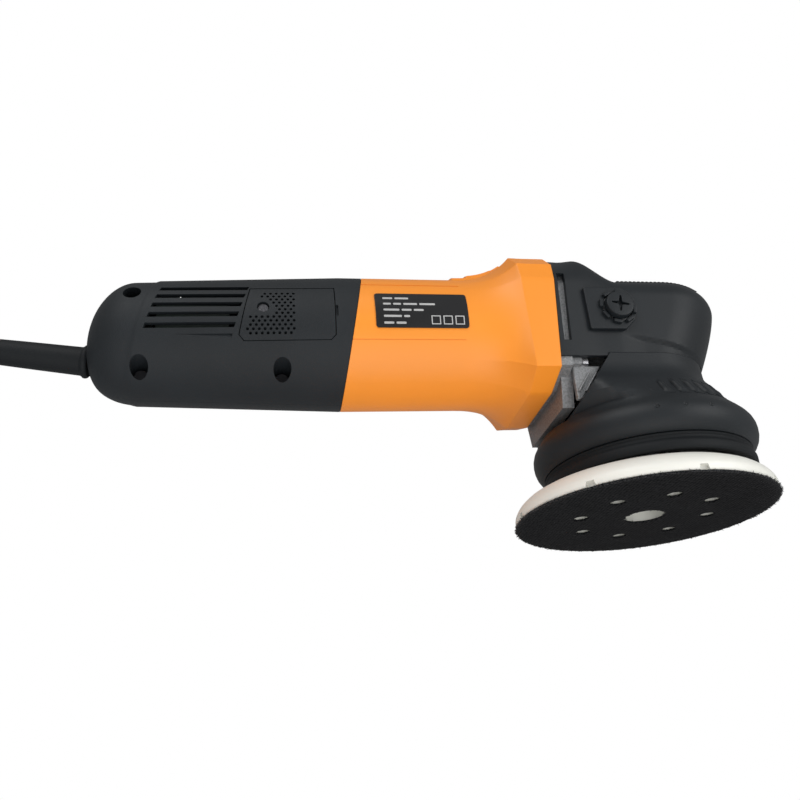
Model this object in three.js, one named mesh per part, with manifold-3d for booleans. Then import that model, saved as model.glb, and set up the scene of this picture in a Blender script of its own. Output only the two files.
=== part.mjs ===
// Dual action polisher: a mains-powered, right-angle, random-orbit polishing machine.
// Millimetres. X runs along the motor towards the nose, Y to the left, Z up along the spindle.
// While the pieces are made, x = y = 0 is the spindle axis and z = 0 is the face of the pad.
import * as THREE from "three";
import { mergeVertices } from "three/addons/utils/BufferGeometryUtils.js";
import { ConvexGeometry } from "three/addons/geometries/ConvexGeometry.js";
import Module from "manifold-3d";

const wasm = await Module();
wasm.setup();

// ---------------------------------------------------------------- driving dimensions
const GAP = 0.3; // between pieces that touch
const FAR = 400; // longer than the machine, for cutting tools
const ROUND = 28; // facets round a large diameter
const FINE = 16; // facets round a small diameter

// pad and orbit
const PAD_RADIUS = 75;
const HOOK_THICKNESS = 3;
const ORBIT = 7.5; // pad axis behind the spindle axis: a 15 mm orbit
const PAD_HOLES = 8;
const PAD_HOLE_CIRCLE = 39.4;
const PAD_HOLE_RADIUS = 5;
const PAD_CENTRE_HOLE = 12;
const PLATE_TOP = 17.5; // top of the backing plate
const PLATE_HUB_RADIUS = 16;
const PLATE_HUB_TOP = 24;
const PLATE_WEB = 17; // inner floor that the pad bolt clamps
const PAD_BOLT_RADIUS = 4;
const PAD_BOLT_TOP = 44;

// motor line
const MOTOR_Z = 114;
const REAR_X = -326.5;
const HOUSING_RADIUS = 40.5;
const HOUSING_WALL = 3.2;
const HOUSING_BORE = HOUSING_RADIUS - HOUSING_WALL;
const CASING_REAR_RADIUS = HOUSING_RADIUS - 4;
const CASING_WALL = 2.8;
const CASING_DOME = 28; // length of the rounded rear end
const CASING_DROOP = 7; // how far the rear end's middle lies below the motor axis
const JOINT_X = -174.6; // casing to motor housing
const JOINT_LEAN = 0.18; // how far the joint moves forward for each mm of height
const FLARE_X = -106;
const BAND_REAR_X = -77.5;
const BAND_FRONT_X = -57.5;
const BAND_LEAN = 0.083;
const FLANGE_HALF = HOUSING_RADIUS + 5;
const FLANGE_TOP_FLAT = 30;
const FLANGE_TOP_CORNER = 24.5;
const FLANGE_BOTTOM_FLAT = 25;
const FLANGE_BOTTOM_CORNER = 7.5;

// gear case and head
const COVER_WALL = 3;
const COVER_HALF = FLANGE_HALF - 2.5;
const COVER_SHARE = 0.985; // of the flange's outline, where the cover meets it
const COVER_BOTTOM = MOTOR_Z - 27.5;
const NOSE_TOP = MOTOR_Z + 28;
const NOSE_CENTRE_X = 19;
const CASE_RADIUS = COVER_HALF - COVER_WALL - 4;
const CASE_TOP = MOTOR_Z + 23;
const CASE_BOTTOM = MOTOR_Z - 33.5;
const CHAMBER_RADIUS = CASE_RADIUS - 3.5;
const CASE_NECK = 24; // tube round the motor axis between the flange and the gear chamber
const CASE_PLATE = 7; // thickness of the rear flange of the gear case
const CASE_PAD = 6.5; // thickness of the raised pad in front of it
const CASE_SCREWS = [[3.5 - HOUSING_RADIUS, -32], [HOUSING_RADIUS - 3.5, -32]]; // [y, z] about the motor axis
const CASE_SCREW_HOLE = 2.3;
const HANDLE_X = -20;
const HANDLE_Z = MOTOR_Z + 1;
const HANDLE_BORE = 5.2;
const HANDLE_BOSS = 9.5;
const HANDLE_FACE = COVER_HALF + 3;

// skirt and shroud round the spindle
const SKIRT_RADIUS = 62;
const SKIRT_BOTTOM = PLATE_TOP + 1.1;
const SKIRT_TOP = SKIRT_BOTTOM + 10.4;
const SHROUD_BULGE = SKIRT_RADIUS + 4.2;
const SHROUD_NECK = CASE_RADIUS + 8;
const SHROUD_TOP = COVER_BOTTOM - GAP;
const SHROUD_WALL = 2.8;

// shaft, gears and bearings
const SHAFT_RADIUS = 6;
const MODULE = 1.6;
const PINION_TEETH = 10;
const GEAR_TEETH = 38;
const GEAR_FACE = 8;
const PINION_REAR = -50;
const PINION_BORE = 3.5;
const PINION_COLLAR = 9;
const SPINDLE_RADIUS = 7.2;
const REAR_BEARING = { bore: SHAFT_RADIUS - 1, outer: SHAFT_RADIUS + 9, width: 9, x: -238 };
const FRONT_BEARING = { bore: SHAFT_RADIUS, outer: SHAFT_RADIUS + 10, width: 10, x: -80 };
const UPPER_BEARING = {
  bore: SPINDLE_RADIUS - 2.2,
  outer: SPINDLE_RADIUS + 5.8,
  width: 8,
  z: MOTOR_Z + 8,
};
const LOWER_BEARING = {
  bore: SPINDLE_RADIUS + GAP,
  outer: SPINDLE_RADIUS + 10.3,
  width: 11,
  z: MOTOR_Z - 30,
};
const ORBIT_BEARING = { bore: 7.5, outer: 16, width: 9, low: 34, high: 46 };
const CUP_RADIUS = ORBIT_BEARING.outer + 5;
const CUP_LOW = 32;
const CUP_HIGH = 61;
const WEIGHT_LOW = 36;
const WEIGHT_HIGH = 56;
const WEIGHT_RADIUS = 47;

// electric motor
const CORE_RADIUS = 24;
const CORE_REAR = -172;
const CORE_FRONT = -122;
const CORE_SLOTS = 8;
const SLOT_WIDTH = 4;
const SLOT_FLOOR = 13; // radius of the bottom of a core slot
const WINDING_RADIUS = CORE_RADIUS - 3;
const STATOR_BORE = CORE_RADIUS + 1;
const YOKE = 5.5; // iron behind the field coils
const POLE_ROOT = HOUSING_BORE - GAP - YOKE;
const COIL_OVERHANG = 11; // of the field coils behind the core
const COMMUTATOR_RADIUS = 15;
const COMMUTATOR_REAR = -217;
const COMMUTATOR_LENGTH = 20;
const BRUSH_X = COMMUTATOR_REAR + 8;
const BRUSH_HALF = { along: 5.5, high: 3.5 };
const BRUSH_HOLDER_WALL = 2.5;
const BRUSH_REACH = CASING_REAR_RADIUS - CASING_WALL - 0.7; // outer end of the brush holders
const FAN_RADIUS = HOUSING_BORE - 4.3;
const FAN_REAR = -99;
const FAN_FRONT = -86;
const FAN_HUB = 10;
const FAN_BLADES = 9;

// controls
const DIAL_RADIUS = 11;
const DIAL_WIDTH = 6;
const DIAL_X = REAR_X + 46.5;
const DIAL_PROUD = 2.4;
const DIAL_PIN = 2;
const SLIDER_X = -136;
const SLIDER_RISE = 12;
const SLIDER_TRAVEL = 6;
const SLIDER_STEM = { half: 4, high: 3 };
const LINK_THICKNESS = 1.8;

// casing details
const CASING_SCREWS = [
  [REAR_X + 27, MOTOR_Z + 15.5],
  [REAR_X + 32, MOTOR_Z - 27.2],
  [-216.6, MOTOR_Z - 29.6],
];
const SCREW_RECESS = 5;
const SCREW_TOWER = 7;
const SCREW_SHANK = 2;
const SCREW_SEAT = 9; // depth of the screw heads' seat from the seam
const VENT_ROWS = 6;
const VENT_PITCH = 6.4;
const VENT_LENGTH = 48;
const VENT_HEIGHT = 3;
const VENT_FIRST = { x: REAR_X + 33.5, z: MOTOR_Z - 14.5, lean: 1.8 };
const HATCH = { rear: -234, slant: 6, front: -187, low: MOTOR_Z - 16.5, high: MOTOR_Z + 17 };
const HATCH_SCREW = { x: HATCH.rear + 7, z: MOTOR_Z + 3 };
const LABEL = { rear: -164, front: -110, low: MOTOR_Z - 10.5, high: MOTOR_Z + 12.5, thickness: 0.5 };

// mains lead
const CORD_RADIUS = 4;
const GUARD_Z = MOTOR_Z - 11.7;
const GUARD_RADIUS = 8.3;
const GUARD_LENGTH = 62;
const GUARD_FLANGE = 2.5; // how far the guard's inner collar stands out
const GUARD_SEAT = 6.5; // how deep inside the casing the collar sits
const GUARD_RISE = THREE.MathUtils.degToRad(7.6);
const COIL_CENTRE = new THREE.Vector3(-526, 66.9, 0);
const COIL_OUTER = 71;
const COIL_INNER = 28;
const COIL_LOW = 1.6;
const COIL_HIGH = 18.2;
const TIE_HALF = 4.5;
const TIE_THICKNESS = 1.2;
const PLUG_AT = new THREE.Vector3(-489, 133.8, 13.2);
const PIN_RADIUS = 2.4;
const PIN_SPACING = 19;

// ---------------------------------------------------------------- materials
function finish(color, roughness, metalness) {
  return new THREE.MeshStandardMaterial({ color, roughness, metalness });
}
const BLACK_PLASTIC = finish(0x24272a, 0.62, 0);
const ORANGE_PLASTIC = finish(0xf28a1e, 0.5, 0);
const CAST_ALUMINIUM = finish(0x8c9093, 0.55, 0.9);
const STEEL = finish(0xa7abb0, 0.35, 1);
const DARK_STEEL = finish(0x3c3f42, 0.45, 0.9);
const COPPER = finish(0xb5653a, 0.4, 0.9);
const WHITE_PLASTIC = finish(0xe6e4da, 0.55, 0);
const HOOK_FABRIC = finish(0x17181a, 0.95, 0);
const RUBBER = finish(0x1c1d1f, 0.8, 0);
const CARBON = finish(0x222224, 0.7, 0.2);
const GREEN_BOARD = finish(0x2c5a3a, 0.6, 0);
const LABEL_FILM = finish(0x121315, 0.35, 0);

// ---------------------------------------------------------------- solids
function toSolid(geometry) {
  const bare = geometry.clone();
  bare.deleteAttribute("normal");
  bare.deleteAttribute("uv");
  const merged = mergeVertices(bare, 1e-4);
  const index = merged.index.array;
  const triVerts = [];
  for (let i = 0; i < index.length; i += 3) {
    const [a, b, c] = [index[i], index[i + 1], index[i + 2]];
    if (a !== b && b !== c && c !== a) triVerts.push(a, b, c);
  }
  const make = (triangles) =>
    new wasm.Manifold(
      new wasm.Mesh({
        numProp: 3,
        vertProperties: merged.attributes.position.array,
        triVerts: new Uint32Array(triangles),
      }),
    );
  const solid = make(triVerts);
  return solid.volume() < 0 ? make([...triVerts].reverse()) : solid;
}

function join(first, ...others) {
  return others.reduce((whole, other) => whole.add(other), first);
}

function cut(first, ...tools) {
  return tools.reduce((rest, tool) => rest.subtract(tool), first);
}

function block([x0, x1], [y0, y1], [z0, z1]) {
  const geometry = new THREE.BoxGeometry(x1 - x0, y1 - y0, z1 - z0);
  return toSolid(geometry.translate((x0 + x1) / 2, (y0 + y1) / 2, (z0 + z1) / 2));
}

function rodX([x0, x1], radius, y = 0, z = 0, facets = FINE) {
  const geometry = new THREE.CylinderGeometry(radius, radius, x1 - x0, facets);
  return toSolid(geometry.rotateZ(-Math.PI / 2).translate((x0 + x1) / 2, y, z));
}

function rodY([y0, y1], radius, x, z, facets = FINE) {
  const geometry = new THREE.CylinderGeometry(radius, radius, y1 - y0, facets);
  return toSolid(geometry.translate(x, (y0 + y1) / 2, z));
}

function rodZ([z0, z1], radius, x = 0, y = 0, facets = FINE) {
  const geometry = new THREE.CylinderGeometry(radius, radius, z1 - z0, facets);
  return toSolid(geometry.rotateX(Math.PI / 2).translate(x, y, (z0 + z1) / 2));
}

// A body of revolution about X: the profile lists [x, radius].
function lathedX(profile, facets) {
  const points = profile.map(([x, radius]) => new THREE.Vector2(radius, x));
  return new THREE.LatheGeometry(points, facets).rotateZ(-Math.PI / 2);
}

function spunX(profile, facets = ROUND) {
  return toSolid(lathedX(profile, facets));
}

// A body of revolution about Z: the profile lists [radius, z].
function spunZ(profile, facets = ROUND) {
  const points = profile.map(([radius, z]) => new THREE.Vector2(radius, z));
  return toSolid(new THREE.LatheGeometry(points, facets).rotateX(Math.PI / 2));
}

// A ring profile closes on itself.
function ringProfile(inner, outer, low, high) {
  return [[inner, low], [outer, low], [outer, high], [inner, high], [inner, low]];
}

function bearing({ bore, outer, width }) {
  return ringProfile(bore, outer, 0, width);
}

// An outline of [x, z] points pushed through from y0 to y1.
function slabY(outline, [y0, y1]) {
  const shape = new THREE.Shape(outline.map(([x, z]) => new THREE.Vector2(x, z)));
  const geometry = new THREE.ExtrudeGeometry(shape, { depth: y1 - y0, bevelEnabled: false });
  return toSolid(geometry.rotateX(Math.PI / 2).translate(0, y1, 0));
}

// An outline of [y, z] points pushed through from x0 to x1.
function slabX(outline, [x0, x1], z = 0) {
  const shape = new THREE.Shape(outline.map(([y, up]) => new THREE.Vector2(y, up)));
  const geometry = new THREE.ExtrudeGeometry(shape, { depth: x1 - x0, bevelEnabled: false });
  return toSolid(geometry.rotateX(Math.PI / 2).rotateZ(Math.PI / 2).translate(x0, 0, z));
}

function hull(points) {
  return toSolid(new ConvexGeometry(points));
}

function mirrored(make) {
  return [make(-1), make(1)];
}

function atAngle(solidAt, count, from = 0) {
  return Array.from({ length: count }, (_, i) => solidAt(from + (i * 2 * Math.PI) / count));
}

const group = new THREE.Group();
const motorLine = new THREE.Group();
motorLine.position.z = MOTOR_Z;
const padLine = new THREE.Group();
padLine.position.x = -ORBIT;
group.add(motorLine, padLine);

function piece(name, solid, material, parent = group) {
  const { vertProperties, triVerts } = solid.getMesh();
  const geometry = new THREE.BufferGeometry();
  geometry.setAttribute("position", new THREE.BufferAttribute(vertProperties, 3));
  geometry.setIndex(new THREE.BufferAttribute(triVerts, 1));
  geometry.computeVertexNormals();
  const mesh = new THREE.Mesh(geometry, material);
  mesh.name = name;
  parent.add(mesh);
  return mesh;
}

// ---------------------------------------------------------------- outer forms
// Everything forward of a plane that leans with height about the motor axis.
function aheadOf(x, lean) {
  const geometry = new THREE.BoxGeometry(FAR, FAR, FAR).translate(FAR / 2, 0, 0);
  return toSolid(geometry.rotateY(Math.atan(lean)).translate(x, 0, MOTOR_Z));
}

function casingRadius(x) {
  const domeEnd = REAR_X + CASING_DOME;
  const along = THREE.MathUtils.clamp((x - domeEnd) / (JOINT_X - 8 - domeEnd), 0, 1);
  return THREE.MathUtils.lerp(CASING_REAR_RADIUS, HOUSING_RADIUS, along);
}

// The rear casing's outside, shrunk by an inset for its inside.
function casingForm(inset) {
  const dome = new THREE.SplineCurve(
    [[0, 0], [0.35, 0.055], [0.645, 0.2], [0.85, 0.43], [0.96, 0.7], [1, 1]].map(
      ([out, forward]) =>
        new THREE.Vector2(REAR_X + CASING_DOME * forward, CASING_REAR_RADIUS * out),
    ),
  );
  const share = (CASING_REAR_RADIUS - inset) / CASING_REAR_RADIUS;
  const rear = dome.getPoints(7).map((p) => [p.x + inset, p.y * share]);
  const front = JOINT_X + 20;
  const radius = HOUSING_RADIUS - inset;
  const form = lathedX([...rear, [JOINT_X - 8, radius], [front, radius], [front, 0]], ROUND);
  const at = form.attributes.position;
  for (let i = 0; i < at.count; i++) {
    const left = 1 - THREE.MathUtils.clamp((at.getX(i) - REAR_X - inset) / CASING_DOME, 0, 1);
    at.setZ(i, at.getZ(i) + MOTOR_Z - CASING_DROOP * left * left);
  }
  return toSolid(form);
}

// The flange's rounded eight-sided outline as [y, z] about the motor axis.
function flangeOutline(share = 1) {
  const half = FLANGE_HALF * share;
  const right = [
    [FLANGE_TOP_FLAT * share, half],
    [half * 0.93, half - FLANGE_TOP_CORNER * share * 0.5],
    [half, half - FLANGE_TOP_CORNER * share],
    [half, -half + FLANGE_BOTTOM_CORNER * share],
    [FLANGE_BOTTOM_FLAT * share, -half],
  ];
  return [...right, ...right.map(([y, z]) => [-y, z])];
}

function circleOutline(radius, facets = ROUND) {
  return Array.from({ length: facets }, (_, i) => {
    const angle = (i * 2 * Math.PI) / facets;
    return [radius * Math.cos(angle), radius * Math.sin(angle)];
  });
}

// An outline as points on a leaning plane at x.
function leaning(outline, x, lean = BAND_LEAN) {
  return outline.map(([y, z]) => new THREE.Vector3(x + lean * z, y, MOTOR_Z + z));
}

// The nose in plan: straight sides and a half-round front, shrunk by an inset.
function noseRing(inset, z, centreX = NOSE_CENTRE_X) {
  const half = COVER_HALF - inset;
  const points = [new THREE.Vector3(-52, -half, z), new THREE.Vector3(-52, half, z)];
  const steps = 12;
  for (let i = 0; i <= steps; i++) {
    const angle = Math.PI * (i / steps - 0.5);
    const x = centreX + half * Math.cos(angle);
    points.push(new THREE.Vector3(x, half * Math.sin(angle), z));
  }
  return points;
}

// The head cover's outside: a rounded nose with a taller block behind it.
function coverForm(inset) {
  const nose = hull([
    ...noseRing(inset + 2, COVER_BOTTOM - inset * 2, 2),
    ...noseRing(inset + 2, MOTOR_Z - 15, 9),
    ...noseRing(inset + 0.8, MOTOR_Z - 4, 17),
    ...noseRing(inset, MOTOR_Z + 10),
    ...noseRing(inset + 3.5, NOSE_TOP - 7 - inset),
    ...noseRing(inset + 9, NOSE_TOP - 1.5 - inset),
    ...noseRing(inset + 15, NOSE_TOP - inset),
  ]);
  const share = COVER_SHARE - inset / FLANGE_HALF;
  const top = flangeOutline(share).filter(([, z]) => z > 0);
  const bottom = COVER_BOTTOM - MOTOR_Z - inset;
  const low = [[FLANGE_HALF * share, bottom], [-FLANGE_HALF * share, bottom]];
  const lowFront = [[COVER_HALF - inset, bottom], [inset - COVER_HALF, bottom]];
  const shoulder = top.filter(([, z]) => z < 40);
  const block = hull([
    ...leaning([...top, ...low], BAND_FRONT_X - 2),
    ...leaning(top.filter(([, z]) => z > 40), -38, 0),
    ...leaning([...shoulder, ...lowFront], -30, 0),
    new THREE.Vector3(-13, 26 - inset, NOSE_TOP - inset),
    new THREE.Vector3(-13, inset - 26, NOSE_TOP - inset),
    new THREE.Vector3(-8, COVER_HALF - inset - 1, MOTOR_Z + 4),
    new THREE.Vector3(-8, inset + 1 - COVER_HALF, MOTOR_Z + 4),
  ]);
  return join(nose, block);
}

function shroudForm(inset) {
  return [
    [SKIRT_RADIUS - 1 - inset, SKIRT_TOP + GAP],
    [SHROUD_BULGE - 2 - inset, 32.5],
    [SHROUD_BULGE - inset, 37],
    [SHROUD_BULGE - inset, 42],
    [SHROUD_BULGE - 3.2 - inset, 48.5],
    [54.5 - inset, 58],
    [48.5 - inset, 69],
    [SHROUD_NECK - inset, 78],
  ];
}

// ---------------------------------------------------------------- rear casing
function hatchOutline(grow) {
  const { rear, slant, front, low, high } = HATCH;
  return [
    [rear - grow, high + grow],
    [rear - slant - grow, low + 3],
    [rear - slant + 2.5 - grow / 2, low - grow],
    [front - 2.5 + grow / 2, low - grow],
    [front + grow, low + 2.5],
    [front + grow, high + grow],
  ];
}

function ventSlots(side) {
  return Array.from({ length: VENT_ROWS }, (_, row) => {
    const x = VENT_FIRST.x + VENT_FIRST.lean * row;
    const z = VENT_FIRST.z + VENT_PITCH * row;
    const depth = side < 0 ? [-FAR, -20] : [20, FAR];
    const half = VENT_HEIGHT / 2;
    return block([x, x + VENT_LENGTH], depth, [z - half, z + half]);
  });
}

function casingHalf(side) {
  const outside = casingForm(0);
  const halfSpace = side < 0 ? [-FAR, -GAP / 2] : [GAP / 2, FAR];
  const half = block([-FAR, 0], halfSpace, [0, FAR]);
  const tower = ([x, z]) => rodY([-FAR, FAR], SCREW_TOWER, x, z, 12).intersect(outside);
  const recess = ([x, z]) => rodY(side < 0 ? [-FAR, -SCREW_SEAT] : [14, 15], SCREW_RECESS, x, z, 12);
  const bore = ([x, z]) => rodY([-14, 15], SCREW_SHANK + GAP, x, z, 8);
  const hatch = slabY(hatchOutline(GAP), side < 0 ? [-FAR, -20] : [20, FAR]);
  const shell = join(cut(outside, casingForm(CASING_WALL)), ...CASING_SCREWS.map(tower));
  const dialHalf = DIAL_WIDTH / 2 + 3 * GAP;
  const dialX = [DIAL_X - dialHalf, DIAL_X + dialHalf];
  const dialSlot = block(dialX, [-DIAL_RADIUS - 1, DIAL_RADIUS + 1], [MOTOR_Z + 26, FAR]);
  return cut(
    shell,
    aheadOf(JOINT_X - GAP / 2, JOINT_LEAN),
    guardForm(GUARD_RADIUS + GAP, [-FAR / 4, 8]),
    guardForm(GUARD_RADIUS + GUARD_FLANGE + GAP, [GUARD_SEAT - GAP, 20]),
    dialSlot,
    hatch,
    ...CASING_SCREWS.map(recess),
    ...CASING_SCREWS.map(bore),
    ...ventSlots(side),
  ).intersect(half);
}

function casingScrew([x, z]) {
  const head = rodY([-SCREW_SEAT - 3, -SCREW_SEAT - GAP], SCREW_RECESS - 1.2, x, z, 12);
  return join(head, rodY([-SCREW_SEAT - 1, 13], SCREW_SHANK, x, z, 12));
}

function brushHatch(side) {
  const depth = side < 0 ? [-FAR, -20] : [20, FAR];
  const skin = cut(casingForm(GAP), casingForm(CASING_WALL)).intersect(slabY(hatchOutline(0), depth));
  return cut(skin, rodY(depth, SCREW_RECESS - 1.8, HATCH_SCREW.x, HATCH_SCREW.z, 14));
}

function hatchScrew(side) {
  const surface = casingRadius(HATCH_SCREW.x);
  const span = (from, to) => (side < 0 ? [-to, -from] : [from, to]);
  const head = rodY(span(surface - 4, surface - 2), 2.8, HATCH_SCREW.x, HATCH_SCREW.z, 12);
  return join(head, rodY(span(surface - 9, surface - 3.5), 1.5, HATCH_SCREW.x, HATCH_SCREW.z, 10));
}

// ---------------------------------------------------------------- mains lead
// A round form on the cord guard's own axis: forward positions lie inside the casing.
function guardTurn(geometry) {
  return toSolid(geometry.rotateZ(-Math.PI / 2).rotateY(GUARD_RISE).translate(REAR_X, 0, GUARD_Z));
}

function guardForm(radius, [rear, front]) {
  const geometry = new THREE.CylinderGeometry(radius, radius, front - rear, FINE);
  return guardTurn(geometry.translate(0, (rear + front) / 2, 0));
}

function cordGuard() {
  const profile = [
    [0, GUARD_SEAT + 3.5],
    [GUARD_RADIUS + GUARD_FLANGE, GUARD_SEAT + 3.5],
    [GUARD_RADIUS + GUARD_FLANGE, GUARD_SEAT],
    [GUARD_RADIUS, GUARD_SEAT],
    [GUARD_RADIUS, 0],
    [7.4, -48],
    [5.4, -GUARD_LENGTH],
    [0, -GUARD_LENGTH],
  ];
  const points = profile.map(([radius, along]) => new THREE.Vector2(radius, along));
  return guardTurn(new THREE.LatheGeometry(points, FINE));
}

function cordRun(points) {
  const path = new THREE.CatmullRomCurve3(points.map((p) => new THREE.Vector3(...p)));
  const section = new THREE.Shape(circleOutline(CORD_RADIUS, 8).map((p) => new THREE.Vector2(...p)));
  const steps = 22;
  const options = { steps, extrudePath: path, bevelEnabled: false };
  return toSolid(new THREE.ExtrudeGeometry(section, options));
}

function cordLead() {
  return cordRun([
    [-388.3, 0, 110.6],
    [-400, 0, 111.6],
    [-412, 0, 110.3],
    [-423, 0, 105.4],
    [-431.5, 0, 97],
    [-437, 0, 86],
    [-440.5, 0, 73],
    [-442, 0, 58],
    [-443.6, 0, 44],
    [-447.6, 0, 30.5],
    [-455.6, 0, 18],
    [-466.5, 0, 9.6],
    [-479, 0, 5.4],
    [-491.5, 0, 4.6],
  ]);
}

function cordCoil() {
  const ring = spunZ(ringProfile(COIL_INNER, COIL_OUTER, COIL_LOW, COIL_HIGH), 32);
  return ring;
}

function cordTie() {
  const slack = 2 * GAP;
  const reach = slack + TIE_THICKNESS;
  const outer = [-COIL_OUTER - reach, reach - COIL_INNER];
  const strap = block(outer, [-TIE_HALF, TIE_HALF], [0.2, COIL_HIGH + reach]);
  const inside = [-COIL_OUTER - slack, slack - COIL_INNER];
  return cut(strap, block(inside, [-TIE_HALF - 1, TIE_HALF + 1], [COIL_LOW - GAP, COIL_HIGH + slack]));
}

function mainsPlug() {
  const bodyRing = (x, half, rise) =>
    circleOutline(1, 16).map(([c, s]) => new THREE.Vector3(x, half * c, rise * s));
  const body = hull([
    ...bodyRing(13, 8, 8),
    ...bodyRing(26, 15.5, 12.6),
    ...bodyRing(44, 17.6, 12.8),
    ...bodyRing(47, 16.8, 12),
  ]);
  const boot = spunX([[0, 0], [0, 4.8], [15, 7], [15, 0]], 16);
  const pins = mirrored((side) => rodX([46, 66], PIN_RADIUS, (side * PIN_SPACING) / 2, 0, 12));
  return join(body, boot, ...pins);
}

function cordClamp() {
  const span = [REAR_X + 17, REAR_X + 23.5];
  const bar = block(span, [-9, 9], [GUARD_Z - 14.3, GUARD_Z - 10.3]);
  return join(bar, block(span, [-5, 5], [GUARD_Z - 11.3, GUARD_Z - 7.3]));
}

// ---------------------------------------------------------------- motor housing
function motorHousing() {
  const tube = rodX([JOINT_X - 20, FLARE_X + 1], HOUSING_RADIUS, 0, MOTOR_Z, ROUND);
  const waist = leaning(flangeOutline(0.925), BAND_REAR_X - 10);
  const flare = hull([...leaning(circleOutline(HOUSING_RADIUS), FLARE_X, 0), ...waist]);
  const rise = hull([
    ...leaning(flangeOutline(0.9), BAND_REAR_X - 11),
    ...waist,
    ...leaning(flangeOutline(), BAND_REAR_X),
  ]);
  const band = hull([
    ...leaning(flangeOutline(0.96), BAND_REAR_X - 1),
    ...leaning(flangeOutline(), BAND_REAR_X),
    ...leaning(flangeOutline(), BAND_FRONT_X),
  ]);
  const bore = rodX([-FAR, 0], HOUSING_BORE, 0, MOTOR_Z, ROUND);
  const behind = cut(block([-FAR, 0], [-FAR, FAR], [0, FAR]), aheadOf(JOINT_X + GAP / 2, JOINT_LEAN));
  const { half, high } = SLIDER_STEM;
  const slotX = [SLIDER_X - half - GAP, SLIDER_X + half + SLIDER_TRAVEL + GAP];
  const slotZ = [MOTOR_Z + SLIDER_RISE - high, MOTOR_Z + SLIDER_RISE + high];
  const slot = block(slotX, [20, FAR], slotZ);
  const holes = CASE_SCREWS.map(([y, z]) => rodX([-72, 0], CASE_SCREW_HOLE, y, MOTOR_Z + z, 10));
  return cut(join(tube, flare, rise, band), behind, bore, slot, ...holes);
}

function ratingLabel() {
  const skin = cut(
    rodX([LABEL.rear, LABEL.front], HOUSING_RADIUS + GAP + LABEL.thickness, 0, MOTOR_Z, 64),
    rodX([-FAR, 0], HOUSING_RADIUS + GAP, 0, MOTOR_Z, 64),
  );
  return skin.intersect(block([-FAR, 0], [-FAR, 0], [LABEL.low, LABEL.high]));
}

// ---------------------------------------------------------------- gear case and head
function gearCase() {
  const front = BAND_FRONT_X + GAP;
  const plateOutline = flangeOutline(0.9);
  const apron = [[30, -57], [-30, -57], [37, -30], [-37, -30]];
  const plate = hull([...leaning(plateOutline, front), ...leaning(plateOutline, front + CASE_PLATE)]);
  const skirt = hull([...leaning(apron, front, 0.02), ...leaning(apron, front + CASE_PLATE, 0.02)]);
  const padFrom = front + CASE_PLATE - 1;
  const padOutline = flangeOutline(0.86);
  const pad = hull([...leaning(padOutline, padFrom), ...leaning(padOutline, padFrom + CASE_PAD + 1)]);
  const below = block([-FAR, 0], [-FAR, FAR], [0, COVER_BOTTOM - GAP]);
  const wide = (share, from, to) => {
    const outline = flangeOutline(share);
    return hull([...leaning(outline, from), ...leaning(outline, to)]).intersect(below);
  };
  const lowPlate = wide(0.955, front, front + CASE_PLATE);
  const lowPad = wide(0.9, padFrom, padFrom + CASE_PAD + 1);
  const spigot = rodX([-68, front + 1], HOUSING_BORE - GAP, 0, MOTOR_Z, ROUND);
  const seatOuter = FRONT_BEARING.outer + 4;
  const seat = rodX([FRONT_BEARING.x - 1, -60], seatOuter, 0, MOTOR_Z);
  const tower = spunZ([
    [0, CASE_BOTTOM],
    [CASE_RADIUS, CASE_BOTTOM],
    [CASE_RADIUS, CASE_TOP - 13],
    [CASE_RADIUS - 5, CASE_TOP - 5],
    [20, CASE_TOP],
    [0, CASE_TOP],
  ]);
  const neck = rodX([-52, -8], CASE_NECK, 0, MOTOR_Z, ROUND);
  const bosses = rodY([-HANDLE_FACE + COVER_WALL, HANDLE_FACE - COVER_WALL], HANDLE_BOSS, HANDLE_X, HANDLE_Z);
  const chamber = rodZ([CASE_BOTTOM - 20, UPPER_BEARING.z - 1], CHAMBER_RADIUS, 0, 0, ROUND);
  const upperEnd = UPPER_BEARING.z + UPPER_BEARING.width + GAP;
  const upperSeat = rodZ([UPPER_BEARING.z - 2, upperEnd], UPPER_BEARING.outer + GAP);
  const pinionBore = rodX([-FAR / 2, 0], PINION_COLLAR + 3.5, 0, MOTOR_Z);
  const bearingEnd = FRONT_BEARING.x + FRONT_BEARING.width + GAP;
  const bearingBore = rodX([-FAR, bearingEnd], FRONT_BEARING.outer + GAP, 0, MOTOR_Z);
  const handleBores = mirrored((side) =>
    rodY(side < 0 ? [-FAR, -CHAMBER_RADIUS + 2] : [CHAMBER_RADIUS - 2, FAR], HANDLE_BORE, HANDLE_X, HANDLE_Z),
  );
  const screwHoles = CASE_SCREWS.map(([y, z]) => rodX([-FAR, 0], CASE_SCREW_HOLE, y, MOTOR_Z + z, 10));
  const airways = atAngle((angle) => {
    const out = CASE_NECK + 4.5;
    return rodX([-70, -40], 4.5, out * Math.cos(angle), MOTOR_Z + out * Math.sin(angle), 12);
  }, 6, Math.PI / 6);
  const whole = join(plate, lowPlate, skirt, pad, lowPad, spigot, seat, tower, neck, bosses);
  const belowTower = rodZ([0, CASE_BOTTOM], SHROUD_NECK - 2.2, 0, 0, ROUND);
  const tools = [chamber, upperSeat, pinionBore, bearingBore, belowTower];
  return cut(whole, ...tools, ...handleBores, ...screwHoles, ...airways);
}

function caseScrew([y, z]) {
  const seat = BAND_FRONT_X + CASE_PLATE + CASE_PAD + 3 * GAP + BAND_LEAN * z;
  const head = rodX([seat, seat + 3.5], 3.4, y, MOTOR_Z + z, 6);
  return join(head, rodX([-70, seat + 1], 2, y, MOTOR_Z + z, 10));
}

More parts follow.
